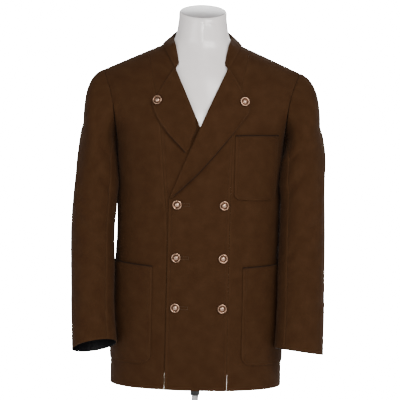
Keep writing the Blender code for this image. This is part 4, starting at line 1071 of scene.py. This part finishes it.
def turnedPiece(name, profile, sides, material, place=None, rise=None):
    profile = np.array(profile)
    angles = 2 * math.pi * np.arange(sides) / sides
    rings = profile[1:-1]
    circle = np.stack((np.cos(angles), np.sin(angles)), axis=-1)
    heights = np.broadcast_to(rings[:, None, 1:], (len(rings), sides, 1))
    body = np.concatenate((rings[:, None, :1] * circle[None], heights), axis=-1).reshape(-1, 3)
    vertices = np.concatenate(([(0, 0, profile[0, 1])], body, [(0, 0, profile[-1, 1])]))
    faces = ringFaces(len(rings), sides, 1)
    top = 1 + (len(rings) - 1) * sides
    for k in range(sides):
        after = (k + 1) % sides
        faces += [(0, 1 + after, 1 + k), (top + k, top + after, len(vertices) - 1)]
    if place:
        origin, across, upward, outward = place
        vertices = origin + vertices[:, :1] * across + vertices[:, 1:2] * upward + vertices[:, 2:] * outward
    marks = {}
    if rise:
        marks["rise"] = np.concatenate(([rise[0]], np.repeat(rise[1:-1], sides), [rise[-1]]))
    return addPiece(name, vertices, faces, (material,), 50, marks)


# Buttons: a shank, a rim with a groove inside it and a domed boss

buttonLook = {
    "rows": {"upper": 0.565, "middle": 0.4465, "lower": 0.335},
    "columns": {"right": -0.048, "left": 0.056},
    "lapelX": 0.096,
    "lapelHeight": 0.795,
    "lift": 0.0003,
    "underReach": 0.009,
    "lapelLift": 0.0002,
    "sides": 40,
    "profile": (
        (0.0, 0.0), (0.0021, 0.0), (0.0021, 0.0021), (0.006, 0.0022), (0.0086, 0.0024), (0.0098, 0.0028),
        (0.01025, 0.0035), (0.0101, 0.0043), (0.0096, 0.0048), (0.0088, 0.0049), (0.008, 0.0046),
        (0.0072, 0.004), (0.0064, 0.0036), (0.0057, 0.0035), (0.0051, 0.0038), (0.0045, 0.0045),
        (0.0037, 0.0051), (0.0028, 0.0055), (0.0016, 0.0058), (0.0007, 0.0059), (0.0, 0.0059),
    ),
    "rise": (0.0, 0.0, 0.0, 0.0, 0.1, 0.3, 0.38, 0.4, 0.4, 0.41, 0.46, 0.52, 0.58, 0.62, 0.7, 0.82, 0.86,
             0.86, 0.86, 0.95, 1.0),
}


def sewButton(name, spot, outward, node):
    across = unit(np.cross((0.0, 0.0, 1.0), outward))
    place = (spot, across, np.cross(outward, across), outward)
    item = turnedPiece(name, buttonLook["profile"], buttonLook["sides"], copper, place, buttonLook["rise"])
    seatPiece(item, "aged_copper", node)


def onFront(x, height):
    turn, level = locate(x, height)
    return onCoat(turn, level, lifted=True, lift=buttonLook["lift"])


for row, height in buttonLook["rows"].items():
    for side, x in buttonLook["columns"].items():
        sewButton("button_%s_%s_" % (row, side), *onFront(x, height), "button_%s_%s" % (row, side))
for side, sign in (("left", 1), ("right", -1)):
    turn, level = locate(sign * buttonLook["lapelX"], buttonLook["lapelHeight"])
    centre, outward = bodyPoint(turn, level), bodyNormal(turn, level)
    away = lapelFaces[side].reshape(-1, 3) - centre
    lifts = away @ outward
    beside = np.linalg.norm(away - lifts[:, None] * outward, axis=1) < buttonLook["underReach"]
    spot = centre + outward * (lifts[beside].max() + buttonLook["lapelLift"])
    sewButton("button_lapel_%s_" % side, spot, outward, "button_lapel_" + side)
print("buttons ready")


# Dress form: a smooth torso under the coat and a neck with a slanted cap

formCut = {
    "bottom": 0.205, "top": 1.003, "tilt": math.radians(21), "sides": 120,
    "shoulderFrom": 0.862, "shoulderHalf": 0.2015, "torsoTop": 0.955,
    "neckFrom": 0.895, "neckRun": 0.055, "tiltRun": 0.045,
    "evenFrom": 0.86, "evenTo": 0.985, "evenWidth": 0.018, "neckY": -0.008, "capShadeFrom": 1.002,
    "clear": 0.0004, "shoulderClear": 0.0036, "edgePower": 6,
    "halves": (
        (0.205, 0.15), (0.225, 0.163), (0.35, 0.172), (0.49, 0.168), (0.6, 0.174),
        (0.69, 0.181), (0.75, 0.184), (0.8, 0.19), (0.835, 0.196), (0.862, 0.2015)),
    "gaps": ((0.205, 0.024), (0.35, 0.018), (0.49, 0.015), (0.62, 0.01), (0.74, 0.004), (0.8, 0.0026),
             (0.87, 0.0026), (0.93, 0.005)),
    "neckRows": (  # height, half width, front depth, back depth, middle
        (0.9, 0.077, 0.066, 0.06, 0.002), (0.93, 0.064, 0.06, 0.0575, 0.0),
        (0.948, 0.0605, 0.0585, 0.0565, -0.001), (0.966, 0.0575, 0.0575, 0.056, -0.002),
        (0.985, 0.055, 0.0565, 0.055, -0.003), (1.003, 0.055, 0.056, 0.055, -0.003)),
    "rounding": {0.205: 0.93, 0.2056: 0.952, 0.2075: 0.972, 0.211: 0.985, 0.217: 0.995,
                 0.9995: 0.992, 1.0015: 0.975, 1.0026: 0.95, 1.003: 0.91},
}


def torsoRing(angle, height):
    half = curveAt(formCut["halves"], 1, height)
    if height > formCut["shoulderFrom"]:
        above = height + formCut["shoulderClear"] - coat["shoulder"]
        sloped = coat["shoulderHalf"] - above / coat["shoulderSlope"]
        half = min(formCut["shoulderHalf"], sloped)
    x = half * np.sin(angle)
    facing = np.where(np.cos(angle) >= 0, -1, 1)
    inset = coat["clothThick"] + curveAt(formCut["gaps"], 1, height) + formCut["clear"]
    rise = riseAt(x, height + inset * 0.6)
    above = height > coat["armpit"]
    atHeight = min(height, coat["armpit"])
    depth = np.where(facing < 0, curveAt(bodySections, 2, atHeight), curveAt(bodySections, 3, atHeight))
    lowX = np.abs(x) * (armholeEdge[0][1] / curveAt(armholeEdge, 1, rise) if above else 1.0)
    y = facing * ringDepth(lowX, curveAt(bodySections, 1, atHeight), depth)
    if above:
        blend = smoothStep(rise / coat["yokeBlend"])
        y = y * (1 - blend) + np.where(facing < 0, yokeDepth(x, rise, -1), yokeDepth(x, rise, 1)) * blend
    middle = coat["ridgeY"] if above else 0.0
    rounding = np.maximum(1 - (np.abs(x) / half) ** formCut["edgePower"], 0) ** 0.5
    return x, middle + facing * np.maximum(np.abs(y - middle) - inset, 0) * rounding


def dressForm():
    heights = np.concatenate(((0.205, 0.2056, 0.2075, 0.211, 0.217), np.linspace(0.228, 0.93, 90),
                              np.linspace(0.936, 0.996, 14), (0.9995, 1.0015, 1.0026, formCut["top"])))
    sides = formCut["sides"]
    angle = 2 * math.pi * (np.arange(sides) + 0.5) / sides
    rings = []
    for height in heights:
        blend = float(smoothStep((height - formCut["neckFrom"]) / formCut["neckRun"]))
        tilted = float(smoothStep((height - formCut["torsoTop"]) / formCut["tiltRun"]))
        tilt = math.tan(formCut["tilt"]) * tilted
        torsoX, torsoY = torsoRing(angle, min(height, formCut["torsoTop"])) if blend < 1 else (0.0, 0.0)
        half, front, back, centre = (curveAt(formCut["neckRows"], column, height) for column in (1, 2, 3, 4))
        neckY = centre - np.where(np.cos(angle) >= 0, front, back) * np.cos(angle)
        x = torsoX * (1 - blend) + half * np.sin(angle) * blend
        y = torsoY * (1 - blend) + neckY * blend
        middle = formCut["neckY"] * blend
        shrink = formCut["rounding"].get(float(height), 1.0)
        x, y = x * shrink, middle + (y - middle) * shrink
        rings.append(np.stack((x, y, height + tilt * (y - middle)), axis=-1))
    rings = np.array(rings)
    points = rings.copy()
    for place, height in enumerate(heights):  # even out the hollow where the neck meets the chest
        if formCut["evenFrom"] < height < formCut["evenTo"]:
            weight = np.exp(-((heights - height) / formCut["evenWidth"]) ** 2)
            points[place] = (rings * weight[:, None, None]).sum(axis=0) / weight.sum()
    faces = ringFaces(len(heights), sides)
    last = (len(heights) - 1) * sides
    faces += [tuple(reversed(range(sides))), tuple(range(last, last + sides))]
    # the top cap is marked for the painted shade of the white shell
    rise = np.repeat(np.where(heights > formCut["capShadeFrom"], 1.0, 0.0), sides)
    item = addPiece("moulded_form", points.reshape(-1, 3), faces, (shell,), 35, {"rise": rise})
    seatPiece(item, "white_gloss", "dress_form")


dressForm()


# Stand: socket under the form, pole and round base, as (radius, height) pairs; the socket's last ones are
# measured from its top

standCut = {
    "gap": 0.0003,
    "socketFoot": ((0, 0.117), (0.0098, 0.117), (0.0107, 0.1174), (0.011, 0.1182)),
    "socketHead": ((0.011, 0.0085), (0.0125, 0.0065), (0.022, 0.005), (0.0237, 0.004), (0.024, 0.003),
                   (0.024, 0.0), (0, 0.0)),
    "pole": ((0, 0.0123), (0.0138, 0.0123), (0.014, 0.0127), (0.014, 0.0165), (0.0132, 0.0182),
             (0.0095, 0.0195), (0.0083, 0.0208), (0.008, 0.023), (0.008, 0.116), (0.0077, 0.1167),
             (0, 0.1167)),
    "base": ((0, 0), (0.1425, 0), (0.1441, 0.0006), (0.145, 0.002), (0.145, 0.0088), (0.1443, 0.0105),
             (0.1428, 0.0116), (0.14, 0.012), (0.02, 0.012), (0, 0.012)),
}
socketTop = formCut["bottom"] - standCut["gap"]
socketHead = tuple((radius, socketTop - down) for radius, down in standCut["socketHead"])
socket = turnedPiece("formSocket", standCut["socketFoot"] + socketHead, 64, blackPaint)
seatPiece(socket, "black_metal", "pole_socket")
pole = turnedPiece("standPole", standCut["pole"], 48, palePaint)
seatPiece(pole, "pale_metal", "stand_pole")
base = turnedPiece("basePlate", standCut["base"], 128, palePaint)
seatPiece(base, "pale_metal", "base_plate")
print("form and stand ready")


# Stitching: short threads along each path, in one tree for all rows

def stitchTree(name):
    tree = bpy.data.node_groups.new(name, "GeometryNodeTree")
    tree.interface.new_socket("Geometry", in_out="INPUT", socket_type="NodeSocketGeometry")
    sockets = {}
    sizes = (("Stitch Pitch", 0.0034), ("Stitch Length", 0.0026), ("Across", 0.0005), ("Deep", 0.0005))
    for label, value in sizes:
        socket = tree.interface.new_socket(label, in_out="INPUT", socket_type="NodeSocketFloat")
        socket.default_value = value
        sockets[label] = socket.identifier
    finish = tree.interface.new_socket("Thread", in_out="INPUT", socket_type="NodeSocketMaterial")
    sockets["Thread"] = finish.identifier
    tree.interface.new_socket("Geometry", in_out="OUTPUT", socket_type="NodeSocketGeometry")
    given = addNode(tree, "NodeGroupInput").outputs
    curve = addNode(tree, "GeometryNodeMeshToCurve", {"Mesh": given["Geometry"]})
    normal = addNode(tree, "GeometryNodeSetCurveNormal", {"Curve": curve.outputs["Curve"]}, mode="Z_UP")
    dots = addNode(tree, "GeometryNodeCurveToPoints", {
        "Curve": normal.outputs["Curve"], "Length": given["Stitch Pitch"]}, mode="LENGTH")
    bead = addNode(tree, "GeometryNodeMeshUVSphere", {"Segments": 6, "Rings": 4, "Radius": 0.5})
    size = addNode(tree, "ShaderNodeCombineXYZ", {
        "X": given["Deep"], "Y": given["Across"], "Z": given["Stitch Length"]})
    placed = addNode(tree, "GeometryNodeInstanceOnPoints", {
        "Points": dots.outputs["Points"], "Instance": bead.outputs["Mesh"],
        "Rotation": dots.outputs["Rotation"], "Scale": size.outputs["Vector"]})
    real = addNode(tree, "GeometryNodeRealizeInstances", {"Geometry": placed.outputs["Instances"]})
    painted = addNode(tree, "GeometryNodeSetMaterial", {
        "Geometry": real.outputs["Geometry"], "Material": given["Thread"]})
    addNode(tree, "NodeGroupOutput", {"Geometry": painted.outputs["Geometry"]})
    return tree, sockets


stitches, stitchSockets = stitchTree("stitchRow")
stitchLook = {  # pitch, length, across, deep
    "top": (0.0034, 0.0025, 0.0005, 0.0005),
    "hole": (0.0007, 0.0006, 0.0016, 0.0009),
    "bar": (0.0007, 0.0009, 0.0022, 0.0012),
}


def stitchRows(name, paths, yarn, pitch, length, across, deep):
    vertices, edges = [], []
    for path in paths:
        first = len(vertices)
        vertices += np.asarray(path).tolist()
        edges += [(first + k, first + k + 1) for k in range(len(path) - 1)]
    mesh = bpy.data.meshes.new(name)
    mesh.from_pydata(vertices, edges, [])
    guide = addObject(name, mesh)
    modifier = guide.modifiers.new("stitches", "NODES")
    modifier.node_group = stitches
    settings = {"Stitch Pitch": pitch, "Stitch Length": length, "Across": across, "Deep": deep, "Thread": yarn}
    for label, value in settings.items():
        modifier[stitchSockets[label]] = value
    view = bpy.context.evaluated_depsgraph_get()
    made = bpy.data.meshes.new_from_object(guide.evaluated_get(view))
    made.name = name
    bpy.data.objects.remove(guide)
    made.shade_smooth()
    seatPiece(addObject(name, made), "brown_cloth")


stitchRows("topStitches", stitchPaths, thread, *stitchLook["top"])


# Buttonholes beside the wearer's right column: two rows of crosswise stitches and a bar at the end

holeLook = {"start": 0.0015, "length": 0.025, "apart": 0.0062, "barHalf": 0.0034, "barGap": 0.0008}
holePaths, barPaths = [], []
for height in buttonLook["rows"].values():
    start = holeLook["start"]
    x = buttonLook["columns"]["right"] + np.linspace(start, start + holeLook["length"], 24)
    for offset in (-holeLook["apart"] / 2, holeLook["apart"] / 2):
        holePaths.append(onFront(x, height + offset)[0])
    z = height + np.linspace(-holeLook["barHalf"], holeLook["barHalf"], 9)
    barPaths.append(onFront(x[-1] + holeLook["barGap"], z)[0])
stitchRows("buttonholeStitches", holePaths, paleThread, *stitchLook["hole"])
stitchRows("buttonholeBars", barPaths, paleThread, *stitchLook["bar"])
print("stitching ready")


# Floor and backdrop in one sweep, not part of the object; seen straight from the camera all is white

stageLook = {
    "half": 9.0, "front": -6.0, "bend": 3.2, "radius": 1.2, "tall": 6.0, "bendSteps": 16,
    "glow": 0.15, "worldGlow": 0.42, "seenGlow": 30.0,
}


def glowFor(tree, unseen):
    seen = addNode(tree, "ShaderNodeLightPath").outputs["Is Camera Ray"]
    glow = addNode(tree, "ShaderNodeMapRange", {
        "Value": seen, "To Min": unseen, "To Max": stageLook["seenGlow"]})
    return glow.outputs["Result"]


def sweepStage():
    bend, radius, steps = stageLook["bend"], stageLook["radius"], stageLook["bendSteps"]
    profile = [(stageLook["front"], 0.0), (bend, 0.0)]
    for k in range(1, steps + 1):
        angle = math.pi / 2 * k / steps
        profile.append((bend + radius * math.sin(angle), radius * (1 - math.cos(angle))))
    profile.append((bend + radius, stageLook["tall"]))
    vertices = [(x, y, z) for x in (-stageLook["half"], stageLook["half"]) for y, z in profile]
    count = len(profile)
    faces = [(k + 1, k, count + k, count + k + 1) for k in range(count - 1)]
    material, tree, shader = newMaterial("paleSweep")
    place = addNode(tree, "ShaderNodeTexCoord")
    cloud = addNode(tree, "ShaderNodeTexNoise", {"Vector": place.outputs["Object"], "Scale": 0.6})
    fillInputs(tree, shader, {
        "Base Color": colourRamp(tree, cloud.outputs["Fac"], ((0.3, (0.9,) * 3), (0.7, (0.93,) * 3))),
        "Roughness": 0.9, "Emission Color": (1, 1, 1, 1),
        "Emission Strength": glowFor(tree, stageLook["glow"])})
    addPiece("paleSweep", vertices, faces, (material,))


lights = {  # place, target, size, power, colour
    "key": ((1.5, -2.9, 2.3), (0.0, 0.0, 0.68), (1.7, 1.7), 102, (1.0, 0.975, 0.95)),
    "front": ((-0.02, -3.5, 1.28), (0.0, 0.0, 0.95), (0.2, 1.0), 36, (1.0, 0.99, 0.98)),
    "fill": ((-2.4, -3.0, 1.2), (0.0, 0.0, 0.6), (1.6, 1.6), 34, (1.0, 0.985, 0.97)),
    "back": ((0.4, 2.4, 2.2), (0.0, 0.0, 0.6), (2.0, 1.2), 30, (1.0, 1.0, 1.0)),
}


def softLight(name, place, target, size, power, colour):
    data = bpy.data.lights.new(name, "AREA")
    data.shape = "RECTANGLE"
    data.size, data.size_y = size
    data.energy = power
    data.color = colour
    item = addObject(name, data)
    aim = np.array(target, float) - np.array(place, float)
    yaw = math.atan2(aim[0], aim[1])
    pitch = math.atan2(aim[2], math.hypot(aim[0], aim[1]))
    item.location = place
    item.rotation_euler = (math.pi / 2 + pitch, 0.0, -yaw)


sweepStage()
for name, settings in lights.items():
    softLight(name, *settings)
world = bpy.data.worlds.new("paleRoom")
world.use_nodes = True
fillInputs(world.node_tree, world.node_tree.nodes["Background"], {
    "Color": (1, 1, 1, 1), "Strength": glowFor(world.node_tree, stageLook["worldGlow"])})
bpy.context.scene.world = world

cameraLook = {
    "place": (0.0022, -3.0, 0.712), "down": math.radians(2.69), "roll": 0.0212, "lens": 1300 / 400 * 36}
cameraData = bpy.data.cameras.new("photoCamera")
cameraData.lens = cameraLook["lens"]
cameraData.sensor_width = 36
cameraData.clip_end = 60
camera = addObject("photoCamera", cameraData)
camera.location = cameraLook["place"]
camera.rotation_mode = "QUATERNION"
level = Euler((math.pi / 2 - cameraLook["down"], 0.0, 0.0)).to_quaternion()
camera.rotation_quaternion = level @ Quaternion((0, 0, 1), cameraLook["roll"])
bpy.context.scene.camera = camera
print("stage, lights and camera ready")
